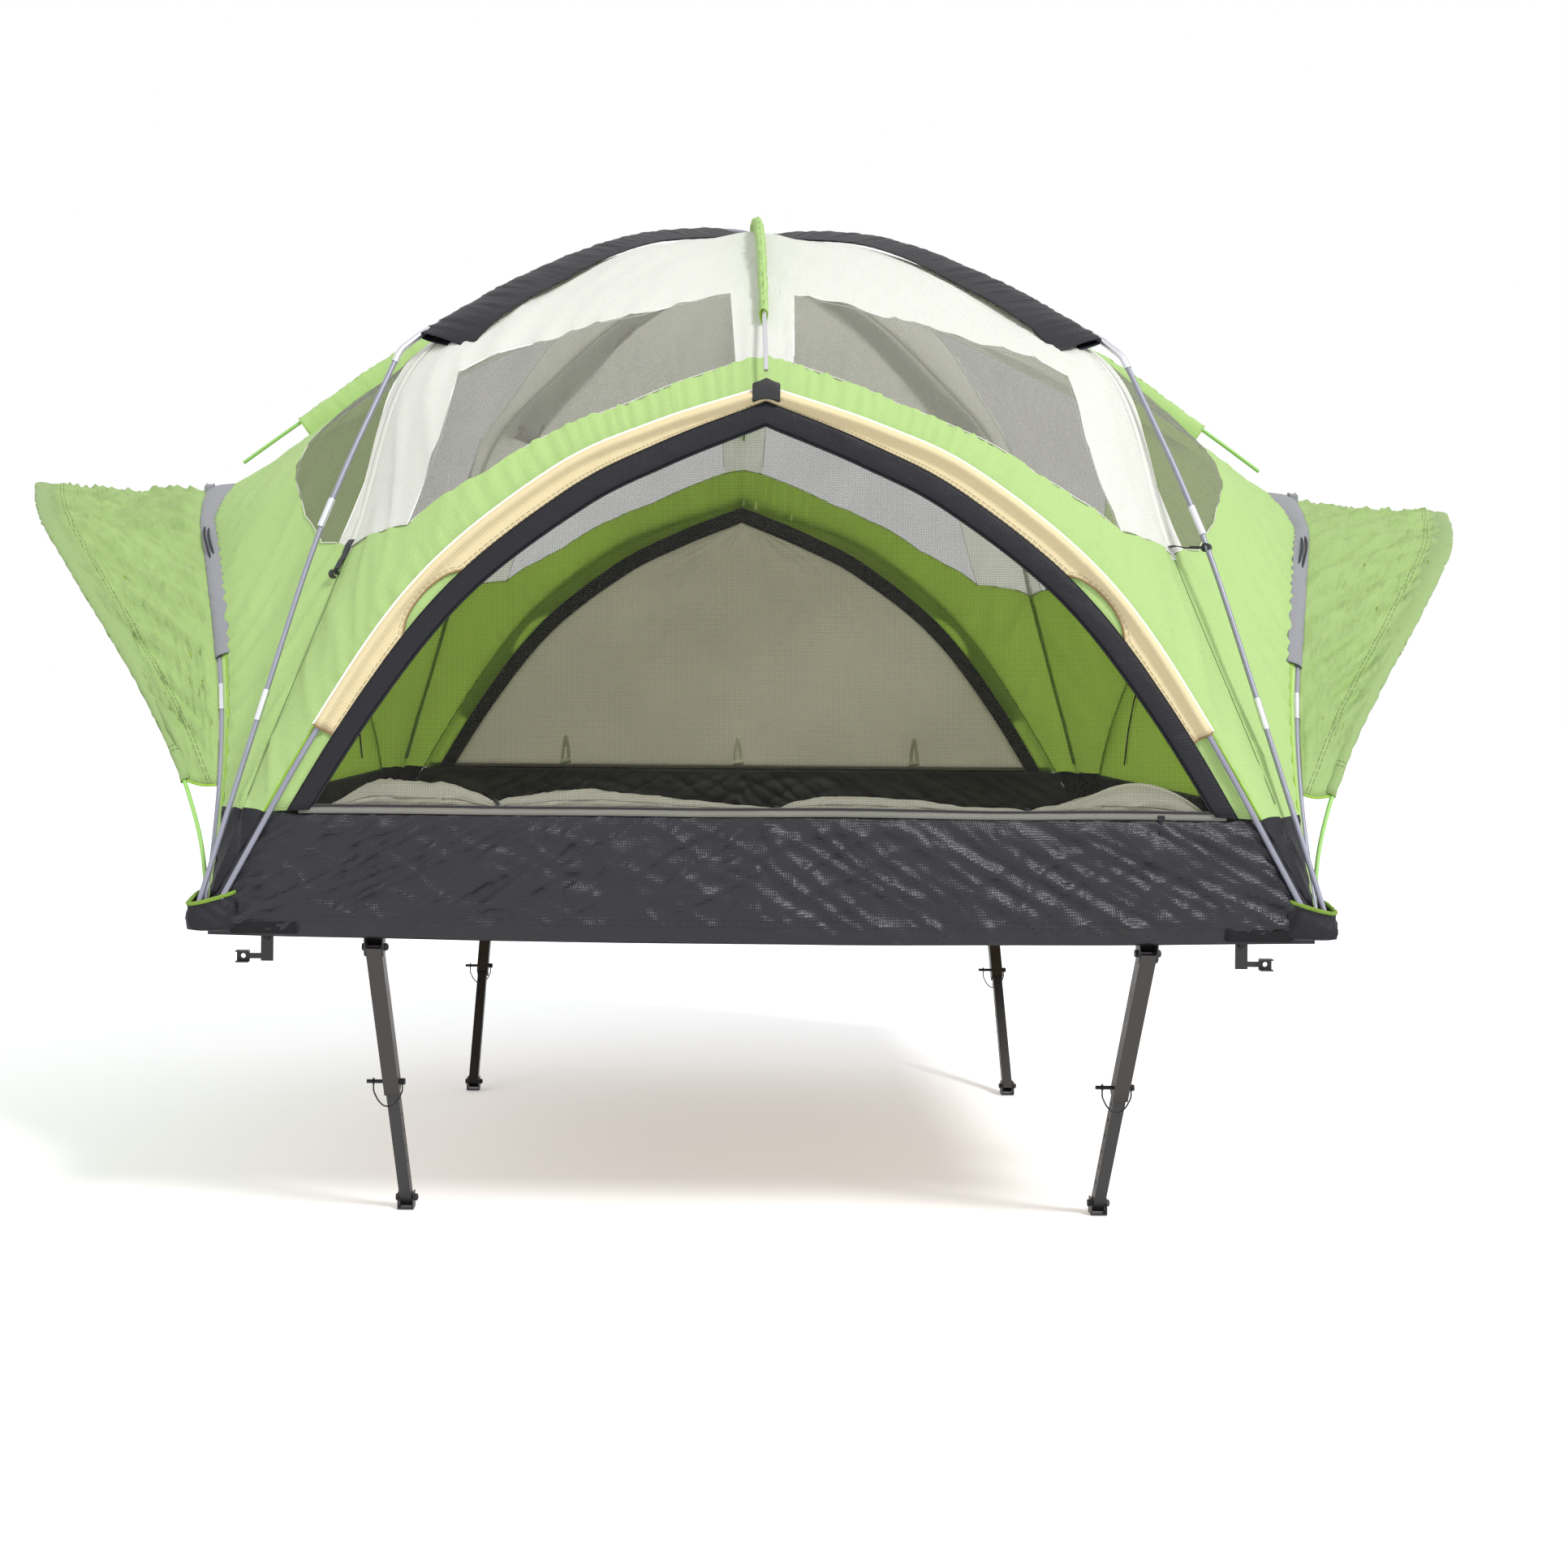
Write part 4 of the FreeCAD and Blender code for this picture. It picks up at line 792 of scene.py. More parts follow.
def canopy_panel(name):
    """One of the roof's four panels: green band, cream bands and two netting windows."""
    door = name in DOORS
    window, band = (DOOR_WINDOW, DOOR_BAND) if door else (END_WINDOW, END_BAND)
    apex = DOOR_APEX if door else END_APEX
    low_share = arch_share_at(SKIRT_TOP, FOOT_TOP, apex)
    seam_share = next(i / 600 for i in range(601) if along(SEAM, i / 600).z >= SKIRT_TOP)
    foot = ((low_share, 0.0), (seam_share, 1.0))
    lines = list(zip(window, window[1:] + window[:1])) + list(zip(band, band[1:])) + [foot]
    cuts = []
    for a, b in lines:
        cuts.append(((a[0] / 2, a[1]), (b[0] / 2, b[1])))
        cuts.append(((1 - a[0] / 2, a[1]), (1 - b[0] / 2, b[1])))
    middle = [canopy_point(name, i / 80, 0.5) for i in range(81)]
    whole = length_of(middle)
    rungs = [(canopy_point(name, i / 80, 1) - canopy_point(name, i / 80, 0)).length for i in range(81)]

    def flat(u, t):
        place = min(int(u * 80), 79)
        rung = rungs[place] + (rungs[place + 1] - rungs[place]) * (u * 80 - place)
        return u * whole, t * rung

    def region(u, t):
        share = half_share(u)
        if share < low_share + (seam_share - low_share) * t:
            return 3
        if inside(window, share, t):
            return 2
        return 1 if above_band(band, share, t) else 0

    def wrinkle(u, t):
        x, y = flat(u, t)
        hold = pinned(t, 0.12) * pinned(u, 0.03)
        pucker = 0.0036 * math.sin(x * 2 * math.pi / 0.048 + 7 * swell(x, 0, 3.1, 0.17)) * max(0, 1 - t * 3.4)
        sag = 0.0065 * crease(x, y, 11.0 + len(name), 0.5, 0.07, 0.8 if u < 0.5 else -0.8)
        return hold * (0.006 * swell(x, y, 2.0, 0.22) + sag) + pucker * pinned(t, 0.03)

    obj = cloth(name + "_canopy", lambda u, t: canopy_point(name, u, t), (280, 30), flat,
                ["green_polyester_taffeta", "cream_polyester_taffeta", "window_netting",
                 "charcoal_coated_oxford"],
                region=region, cuts=cuts, wrinkle=wrinkle, outward=lambda p: p - Vector((0, 0, 0.5)),
                slot="green_cloth", nodes=[name + "_canopy_panel"],
                rests_on=["diagonal_pole_a", "diagonal_pole_b"])
    raised = []
    for outline, closed in ((window, True), (band, False)):
        points = list(outline) + ([outline[0]] if closed else [])
        for way in (0, 1):
            line = []
            for a, b in zip(points, points[1:]):
                for i in range(10):
                    share = a[0] + (b[0] - a[0]) * i / 10
                    t = a[1] + (b[1] - a[1]) * i / 10
                    line.append(canopy_point(name, share / 2 if way else 1 - share / 2, t))
            raised.append(line)
    piping(name + "_window_piping", raised[:2], 0.0013, "cream_piping_cord", slot="green_cloth")
    piping(name + "_band_seam", raised[2:], 0.0013, "olive_seam_thread", slot="green_cloth")
    edge = [canopy_point(name, low_share / 2 + (1 - low_share) * i / 90, 0) for i in range(91)]
    piping(name + "_arch_seam_cord", [edge], 0.0022, "green_piping_cord", slot="green_cloth")
    return obj


class SCREENHOUSE_OT_canopy(bpy.types.Operator):
    """Makes the four roof panels with their windows, and the tapes over the corner seams"""

    bl_idname = "screen_house.canopy"
    bl_label = "Canopy"

    def execute(self, context):
        for name in list(DOORS) + list(ENDS):
            canopy_panel(name)
        lines = [[seam_point(way_x, way_y, i / 70) for i in range(71)]
                 for way_x in (-1, 1) for way_y in (-1, 1)]
        low = [[p for p in line[:26] if p.z > SKIRT_TOP + 0.004] for line in lines]
        high = [line[25:] for line in lines]

        def outwards(p):
            return Vector((p.x, p.y, max(0.0, p.z - 0.7) * 1.6))

        ribbon("corner_seam_tapes", low, 0.014, outwards, "green_polyester_taffeta", slot="green_cloth",
               lift=0.0015)
        threads = [[p + outwards(p).normalized() * 0.0028 for p in line] for line in low]
        piping("corner_seam_threads", threads, 0.0011, "olive_seam_thread", slot="green_cloth")
        ribbon("roof_seam_tapes", high, 0.016, outwards, "cream_polyester_taffeta", slot="green_cloth",
               lift=0.0015)
        return {"FINISHED"}


# ---------------------------------------------------------------- door walls

OPENING_MIDDLE = 0.36       # height that the trim closes in towards, half way up the arch


def door_opening(end, u):
    """Point of the outline of a door wall's opening."""
    p = door_wall_edge(end, u)
    point = Vector((p.x * SCREEN_SHARE, p.y, SKIRT_TOP + 0.005 + (p.z - SKIRT_TOP) * SCREEN_SHARE_UP))
    inwards = Vector((0, p.y, OPENING_MIDDLE)) - point
    return point + inwards.normalized() * 0.026 * math.sin(math.pi * half_share(u))


def door_wall_edge(end, u):
    """Point of a door wall's arch above the dark band."""
    low = arch_share_at(SKIRT_TOP, FOOT_TOP, DOOR_APEX)
    share = half_share(u)
    place = low + (1 - low) * share
    return door_cloth(end, place / 2 if u < 0.5 else 1 - place / 2)


def trim_reach(end, u):
    """Share of the wall strip that the dark trim covers, from the opening outwards."""
    share = half_share(u)
    strip = (door_opening(end, u) - door_wall_edge(end, u)).length
    return min(0.62 + 0.34 * share ** 1.5, sizes().trim / max(strip, 1e-4))


def door_wall(name):
    """Strip of wall between the arch and the opening: dark trim inside, green cloth outside."""
    end = DOORS[name]

    def place(u, v):
        border = trim_reach(end, u) - 0.03
        t = v / 0.6 * border if v < 0.6 else border + (v - 0.6) / 0.4 * (1 - border)
        return door_opening(end, u).lerp(door_wall_edge(end, u), t * 1.015)

    cloth(name + "_door_wall", place, (120, 10), (2.62, 0.062),
          ["charcoal_coated_oxford", "green_polyester_taffeta"],
          region=lambda u, v: 0 if v < 0.6 else 1,
          wrinkle=lambda u, v: 0.0022 * pinned(v, 0.3) * crease(u * 2.6, v * 0.05, 5.0, 0.16, 0.03, 0.5),
          outward=facing(0, end), slot="black_cloth", nodes=[name + "_wall"],
          rests_on=[name + "_door_arch_pole"])
    def trim_point(u, v):
        low = door_opening(end, u)
        high = door_wall_edge(end, u)
        fold = 0.0030 * math.sin(v * math.pi) ** 0.6 + 0.0020 * crease(u * 2.6, v, 9.0, 0.09, 1.2)
        return low.lerp(high, trim_reach(end, u) * (0.03 + v * 0.97)) + Vector((0, end * (0.0072 + fold), 0))

    cloth(name + "_door_trim", trim_point, (150, 8), (2.6, sizes().trim),
          ["charcoal_coated_oxford"], outward=facing(0, end), slot="black_cloth",
          rests_on=[name + "_door_wall"])
    zip_line = [door_opening(end, 0.5 + (i / 100 - 0.5) * 0.996) + Vector((0, end * 0.002, 0))
                for i in range(101)]
    piping(name + "_door_zip_coil", [zip_line], 0.0028, "charcoal_piping_cord", slot="black_cloth")


def opening_fill(name, piece, material, node, slot, wrinkle):
    """The sheet inside a door wall's opening."""
    end = DOORS[name]

    def place(u, v):
        outline = door_opening(end, 0.5 * min(v, 0.995))
        return Vector(((2 * u - 1) * abs(outline.x), outline.y, outline.z))

    def flat(u, v):
        p = place(u, v)
        return p.x, p.z

    return cloth(piece, place, (70, 60), flat, [material], wrinkle=wrinkle, outward=facing(0, end),
                 slot=slot, nodes=[node], rests_on=[name + "_door_wall"])


SLEEVE_FIRST = 0.093        # share of the arch pole where its tan sleeve starts
CUT_MIDDLE = 0.119          # where its cut-out is, as a share of the sleeve, and the cut-out's half length
CUT_HALF = 0.034


def arch_sleeve(name):
    """Tan sleeve over the upper part of a door arch pole, with its piping and its two cut-outs."""
    end = DOORS[name]
    width = sizes().arch_sleeve
    foot = arch_share_at(SKIRT_TOP, FOOT_TOP, DOOR_APEX)

    def pole_place(u):
        return SLEEVE_FIRST + (1 - 2 * SLEEVE_FIRST) * u

    def edges(u):
        pole = door_pole(end, pole_place(u))
        ahead = (door_pole(end, pole_place(u) + 0.005) - door_pole(end, pole_place(u) - 0.005)).normalized()
        inwards = ahead.cross(Vector((0, 1, 0)))
        if inwards.z > 0:
            inwards = -inwards
        return pole, inwards

    def place(u, v):
        pole, inwards = edges(u)
        share = half_share(u)
        wall_share = max(0.0, (half_share(pole_place(u)) - foot) / (1 - foot))
        wall_place = wall_share / 2 if u < 0.5 else 1 - wall_share / 2
        reach = trim_reach(end, wall_place)
        trim_edge = door_opening(end, wall_place).lerp(door_wall_edge(end, wall_place), reach)
        full = min(width * 1.15, (trim_edge - pole).dot(inwards) + 0.006)
        from_edge = abs(share / 2 - CUT_MIDDLE)
        bite = 0.62 * math.sqrt(max(0.0, 1 - (from_edge / CUT_HALF) ** 2))
        inner = full * (1 - bite)
        outer = -0.011
        across = inner + (outer - inner) * v
        over = 0.5 + 0.5 * math.cos(math.pi * min(1.0, abs(across) / 0.018))
        ripple = 0.0010 * crease(u * 2.4, v * 0.06, 4.0, 0.05, 0.1) + 0.0007 * swell(u * 2.4, v, 6.0, 0.05)
        base = WALL_Y + 0.0038 + over * (POLE_RADIUS + 0.0108) + ripple
        point = pole + inwards * across
        point.y = end * base
        return point

    cloth(name + "_arch_sleeve", place, (170, 14), (2.42, width), ["tan_sleeve_twill"],
          outward=facing(0, end), slot="door_cloth", held="stretched",
          rests_on=[name + "_door_arch_pole"], thickness=0.0014)
    outline = [place(i / 160, 1.0) + Vector((0, end * 0.002, 0)) for i in range(161)]
    piping(name + "_arch_piping", [outline], 0.0022, "cream_piping_cord", slot="door_cloth")
    edge = [place(i / 160, 0.0) + Vector((0, end * 0.0012, 0)) for i in range(161)]
    ends = [[place(u, i / 12) + Vector((0, end * 0.0012, 0)) for i in range(13)] for u in (0.0, 1.0)]
    piping(name + "_arch_binding", [edge] + ends, 0.0019, "brown_binding_braid", slot="door_cloth")


class SCREENHOUSE_OT_doors(bpy.types.Operator):
    """Makes the two door walls, the screen, the closed far door, the trims and the arch sleeves"""

    bl_idname = "screen_house.doors"
    bl_label = "Door walls"

    def execute(self, context):
        for name in DOORS:
            door_wall(name)
            arch_sleeve(name)
        opening_fill("near", "screen_panel", "screen_door_netting", "screen_door", "screen_mesh",
                     lambda u, v: 0.006 * pinned(u, 0.5) * pinned(v, 0.5) + 0.001 * swell(u, v, 1.0, 0.1))
        opening_fill("far", "far_door_cloth", "grey_beige_door_polyester", "far_door_panel", "door_cloth",
                     lambda u, v: pinned(u, 0.2) * pinned(v, 0.2) * (
                         0.006 * crease(u * 1.7, v * 0.75, 3.0, 0.5, 0.12, 1.1)
                         + 0.004 * swell(u, v, 8.0, 0.15)))
        return {"FINISHED"}


# ---------------------------------------------------------------- end walls, skirt and floor

def end_wall(name):
    """Bowed green wall under an awning, with a zipped window flap outlined on it."""
    side = ENDS[name]
    low = arch_share_at(SKIRT_TOP, FOOT_TOP, END_APEX)

    def place(u, v):
        share = low - 0.004 + (1.004 - low) * min(v, 0.985)
        edge = end_cloth(side, 0.5 * share)
        return Vector((edge.x, (2 * u - 1) * (abs(edge.y) + 0.001), edge.z))

    rise = length_of([place(0.5, i / 30) for i in range(31)])

    def flat(u, v):
        p = place(u, v)
        return p.y, v * rise

    cloth(name + "_end_wall_cloth", place, (60, 44), flat, ["green_polyester_taffeta"],
          wrinkle=lambda u, v: pinned(u, 0.1) * pinned(v, 0.1) * (
              0.004 * crease(u * 2, v * 0.8, 12.0, 0.4, 0.08, 0.9) + 0.003 * swell(u * 2, v, 5.0, 0.2)),
          outward=facing(side, 0, 0.3), slot="green_cloth", nodes=[name + "_end_wall"],
          rests_on=[name + "_end_hoop"])
    outline = []
    for i in range(61):
        turn = math.pi * i / 60
        across = 0.62 * math.cos(turn)
        up = max(0.03, 0.74 * math.sin(turn) ** 0.7)
        width = 2 * abs(place(0, up).y)
        outline.append(place(0.5 + across / width, up) + Vector((side * 0.004, 0, 0)))
    piping(name + "_window_flap_zip", [outline], 0.0026, "charcoal_piping_cord", slot="black_cloth")
    inner = [p - Vector((side * 0.010, 0, 0)) for p in outline]
    piping(name + "_window_flap_seam", [inner], 0.0022, "charcoal_piping_cord", slot="green_cloth")


def skirt_strip(name):
    """Dark band along one edge of the deck."""
    door = name in DOORS
    way = DOORS[name] if door else ENDS[name]
    apex = DOOR_APEX if door else END_APEX
    half_low = WALL_X + 0.001 if door else WALL_Y - 0.0014
    out = WALL_Y if door else WALL_X
    arch_half = DOOR_CLOTH_HALF if door else END_HALF

    def half_at(z):
        if z <= FOOT_TOP:
            return half_low - 0.004 * z / FOOT_TOP
        share = arch_share_at(z, FOOT_TOP, apex)
        return min(half_low - 0.004, along(ARCH, share).x * arch_half)

    heights = [half_at(i / 40 * SKIRT_TOP) for i in range(41)]
    length = 2 * half_low

    def place(u, v):
        spot = v * 40
        i = min(int(spot), 39)
        half = heights[i] + (heights[i + 1] - heights[i]) * (spot - i)
        x = (2 * u - 1) * half
        lower = 0.0035 * swell(u * length, 0, 21.0, 0.4) - (0.011 * math.sin(math.pi * u) if door else 0.0)
        z = v * SKIRT_TOP + lower * max(0, 1 - v * 3)
        return Vector((x, way * out, z)) if door else Vector((way * out, x, z))

    depth = sizes().crease

    def wrinkle(u, v):
        x = (u - 0.5) * length
        y = v * SKIRT_TOP
        lean = 0.55 if u < 0.5 else -0.55
        body = pinned(v, 0.12) * pinned(u, 0.02)
        folds = 1.7 * depth * crease(x, y, 31.0, 0.30, 0.040, lean)
        folds += 1.3 * depth * crease(x, y, 37.0, 0.18, 0.050, -lean * 0.7)
        folds += 0.6 * depth * crease(x, y, 39.0, 0.09, 0.020, lean * 1.6)
        hem = 0.002 * crease(x, y, 41.0, 0.03, 0.05, 0.9) * max(0, 1 - abs(v - 0.08) * 9)
        ridge = 0.003 * max(0.0, 1 - abs(y - 0.033) / 0.006)
        out_of_plane = max(-0.002, folds * 0.9 + 0.006 * swell(x, y, 43.0, 0.16) - 0.001)
        loose = 1.0 if door else 0.22       # the awning hoops' feet swing close past the end strips
        return loose * (body * out_of_plane + hem + ridge)

    cloth(name + "_skirt", place, (300, 34), (length, SKIRT_TOP), ["charcoal_skirt_oxford"], wrinkle=wrinkle,
          outward=facing(0, way) if door else facing(way, 0), slot="black_cloth",
          nodes=["skirt"] if name == "near" else (), rests_on=["centre_deck_rails", "wing_rails"])


def hoop_flange(name):
    """Narrow flap of canopy cloth that reaches from the end wall's arch to its hoop."""
    side = ENDS[name]
    cloth(name + "_hoop_flange", lambda u, v: end_cloth(side, u).lerp(end_hoop(side, u), v * 0.95), (110, 2),
          (2.5, 0.0145), ["green_polyester_taffeta"], outward=lambda p: Vector((0, p.y, p.z)),
          slot="green_cloth", rests_on=[name + "_end_hoop"])


class SCREENHOUSE_OT_walls(bpy.types.Operator):
    """Makes the two end walls, the dark skirt and the floor"""

    bl_idname = "screen_house.walls"
    bl_label = "End walls, skirt and floor"

    def execute(self, context):
        for name in ENDS:
            end_wall(name)
            hoop_flange(name)
        for name in list(DOORS) + list(ENDS):
            skirt_strip(name)
        low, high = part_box("tent_floor")
        size = high - low
        middle = (low.z + high.z) / 2
        cloth("floor_cloth", lambda u, v: Vector((low.x + u * size.x, low.y + v * size.y, middle)), (60, 60),
              (size.x, size.y), ["black_floor_tarpaulin"],
              wrinkle=lambda u, v: 0.003 * crease(u * 2, v * 2, 51.0, 0.5, 0.07, 0.6) * pinned(u) * pinned(v),
              outward=facing(0, 0, 1), slot="floor_cloth", nodes=["tent_floor"], held="laid",
              rests_on=["centre_deck_panel", "wing_panels"])
        return {"FINISHED"}


# ---------------------------------------------------------------- sleeves, pockets and caps

ROOF_SLEEVE = (0.085, 0.738)        # how far out along X a roof sleeve starts and ends
ROOF_SLEEVE_DROP = 0.150            # how far below the corner seam it is sewn down
RIDGE_RUN = 1.3474                  # along X from the crown to an end hoop's apex
HOOP_SLEEVE = (0.155, 0.343)        # first share of an end hoop under its sleeve, and the share covered


def roof_seam(end, way_x, out):
    """Where a roof sleeve is sewn down, on the door side's panel below the corner seam."""
    share = next(i / 600 for i in range(601) if along(SEAM, i / 600).x <= out)
    place = share / 2 if way_x < 0 else 1 - share / 2
    rung = (canopy_point(end, place, 1) - canopy_point(end, place, 0)).length
    return canopy_point(end, place, 1 - ROOF_SLEEVE_DROP / rung) + Vector((0, DOORS[end] * 0.010, 0.008))


class SCREENHOUSE_OT_sleeves(bpy.types.Operator):
    """Makes the gathered pole sleeves over the roof and the grey sleeves of the end hoops"""

    bl_idname = "screen_house.sleeves"
    bl_label = "Pole sleeves"

    def execute(self, context):
        seed = 60.0
        for end in DOORS:
            for side in ENDS:
                way_x, way_y = ENDS[side], DOORS[end]
                low, high = ROOF_SLEEVE
                line = even([p for p in diagonal_pole(way_x, way_y) if low < abs(p.x) < high], 60)
                lower = [roof_seam(end, way_x, abs(p.x)) for p in line]
                pole = "diagonal_pole_a" if way_x == way_y else "diagonal_pole_b"
                seed += 1
                sleeve(end + "_" + side + "_roof_sleeve", line, lower, 0.0095, "charcoal_coated_oxford", seed,
                       "black_cloth", [pole], count=150, gather=0.0032)
        for names, along_x, (low, high), run, gather in (
                (ENDS, True, (0.075, 1.141), RIDGE_RUN, 0.0035),
                (DOORS, False, (0.055, 0.955), WALL_Y, 0.0042)):
            for name, way in names.items():
                line = [Vector((way * p.x, 0, p.z) if along_x else (0, way * p.x, p.z))
                        for p in ridge_pole(along_x) if low < p.x < high]
                line = even(line, 50)
                lower = [canopy_point(name, 0.5, 1 - abs(p.x + p.y) / run) for p in line]
                seed += 1
                sleeve(name + "_ridge_sleeve", line, lower, 0.0085, "green_polyester_taffeta", seed,
                       "green_cloth", ["long_ridge_pole" if along_x else "cross_ridge_pole"], count=120,
                       gather=gather)
        for side, way in ENDS.items():
            for name in DOORS:
                first, run = HOOP_SLEEVE
                spots = [first + run * i / 60 for i in range(61)]
                spots = [1 - s if name == "far" else s for s in spots]
                line = [end_hoop(way, s) for s in spots]
                lower = [canopy_point(side, s, 0.018 + 0.022 * abs(math.sin(9 * s))) for s in spots]
                seed += 1
                sleeve(name + "_" + side + "_hoop_sleeve", line, lower, 0.0105, "grey_hoop_sleeve_oxford",
                       seed, "pole_grey", [side + "_end_hoop"], count=110, gather=0.0012)
        return {"FINISHED"}


class SCREENHOUSE_OT_pockets(bpy.types.Operator):
    """Makes the bound pouches at the four corners, the caps at the four apexes and the skirt's patches"""

    bl_idname = "screen_house.pockets"
    bl_label = "Corner pockets and caps"

    def execute(self, context):
        path = curve_through([Vector((x, y, 0)) for x, y in (
            (1.026, 1.0990), (1.046, 1.1125), (1.076, 1.1195), (1.104, 1.1195), (1.1165, 1.108),
            (1.1175, 1.084), (1.111, 1.046), (1.0830, 1.022))], 6)
        wall = [Vector((1.028, 1.0990, 0)), Vector((1.060, 1.0990, 0)), Vector((1.0815, 1.0985, 0)),
                Vector((1.0820, 1.060, 0)), Vector((1.0820, 1.024, 0))]
        bindings = []
        first = True
        for side, way_x in ENDS.items():
            for end, way_y in DOORS.items():
                def place(u, v, way_x=way_x, way_y=way_y):
                    point = along(path, u).lerp(along(wall, u), max(0.0, 0.9 - v * 6))
                    dip = 0.022 * math.sin(math.pi * u) ** 1.5
                    up = 0.009 + max(0, v - 0.12) / 0.88 * (0.074 - dip)
                    seed = 71.0 + way_x + 3 * way_y
                    fold = 0.0045 * math.sin(math.pi * min(1.0, v * 1.2))
                    fold += 0.0030 * crease(u * 0.2, v * 0.07, seed, 0.06, 0.018, 0.8)
                    middle = Vector((1.078, 1.078, 0))
                    point += (point - middle).normalized() * (fold - 0.0015)
                    return Vector((way_x * point.x, way_y * point.y, up))

                cloth(end + "_" + side + "_corner_pouch", place, (50, 12), (0.205, 0.095),
                      ["charcoal_coated_oxford"], outward=lambda p: Vector((p.x, p.y, 0)), thickness=0.0014,
                      slot="black_cloth", nodes=["corner_pockets"] if first else (), rests_on=["skirt"])
                first = False
                bindings.append([place(i / 40, 1.0) for i in range(41)])
        piping("pouch_bindings", bindings, 0.0042, "green_binding_tape", slot="green_cloth")
        bm = bmesh.new()
        for centre, turned in ((Vector((0, -POLE_Y, 1.066)), False), (Vector((0, POLE_Y, 1.066)), False),
                               (Vector((POLE_X + END_BOW, 0, 0.974)), True),
                               (Vector((-POLE_X - END_BOW, 0, 0.974)), True)):
            part = bmesh.new()
            bmesh.ops.create_cube(part, size=1.0)
            size = (0.040, 0.022, 0.026) if turned else (0.054, 0.025, 0.036)
            bmesh.ops.scale(part, vec=size, verts=part.verts)
            bmesh.ops.subdivide_edges(part, edges=part.edges[:], cuts=3, use_grid_fill=True)
            for v in part.verts:
                v.co.z += 0.002 - 0.34 * math.hypot(v.co.x, 0.006)
                v.co.y *= 1 - 0.12 * abs(v.co.z) / 0.018
            sharp = [e for e in part.edges if e.calc_face_angle(0) > 0.9]
            bmesh.ops.bevel(part, geom=sharp, offset=0.0028, segments=3, profile=0.5, affect="EDGES",
                            material=-1)
            if turned:
                bmesh.ops.rotate(part, verts=part.verts, cent=(0, 0, 0),
                                 matrix=Matrix.Rotation(math.pi / 2, 3, "Z"))
            bmesh.ops.translate(part, verts=part.verts, vec=centre + Vector((0, 0, 0.005)))
            for face in part.faces:
                face.material_index = 1 if turned else 0
            add_part(bm, part)
        link(mesh_object("apex_caps", bm), ["moulded_black_nylon", "grey_hoop_sleeve_oxford"],
             slot="black_plastic", nodes=["arch_caps"])
        for end, way in DOORS.items():
            for side, way_x in ENDS.items():
                cloth(end + "_" + side + "_hook_patch",
                      lambda u, v, way=way, way_x=way_x: Vector((
                          way_x * (0.905 + 0.130 * u),
                          way * (WALL_Y + 0.0072 + 0.001 * swell(u * 0.2, v, 5, 0.04)),
                          0.003 + 0.024 * v)),
                      (16, 4), (0.130, 0.024), ["black_webbing"], outward=lambda p: Vector((0, p.y, 0)),
                      slot="black_cloth", thickness=0.0024, rests_on=["skirt"], declare=False)
        return {"FINISHED"}


# ---------------------------------------------------------------- awnings


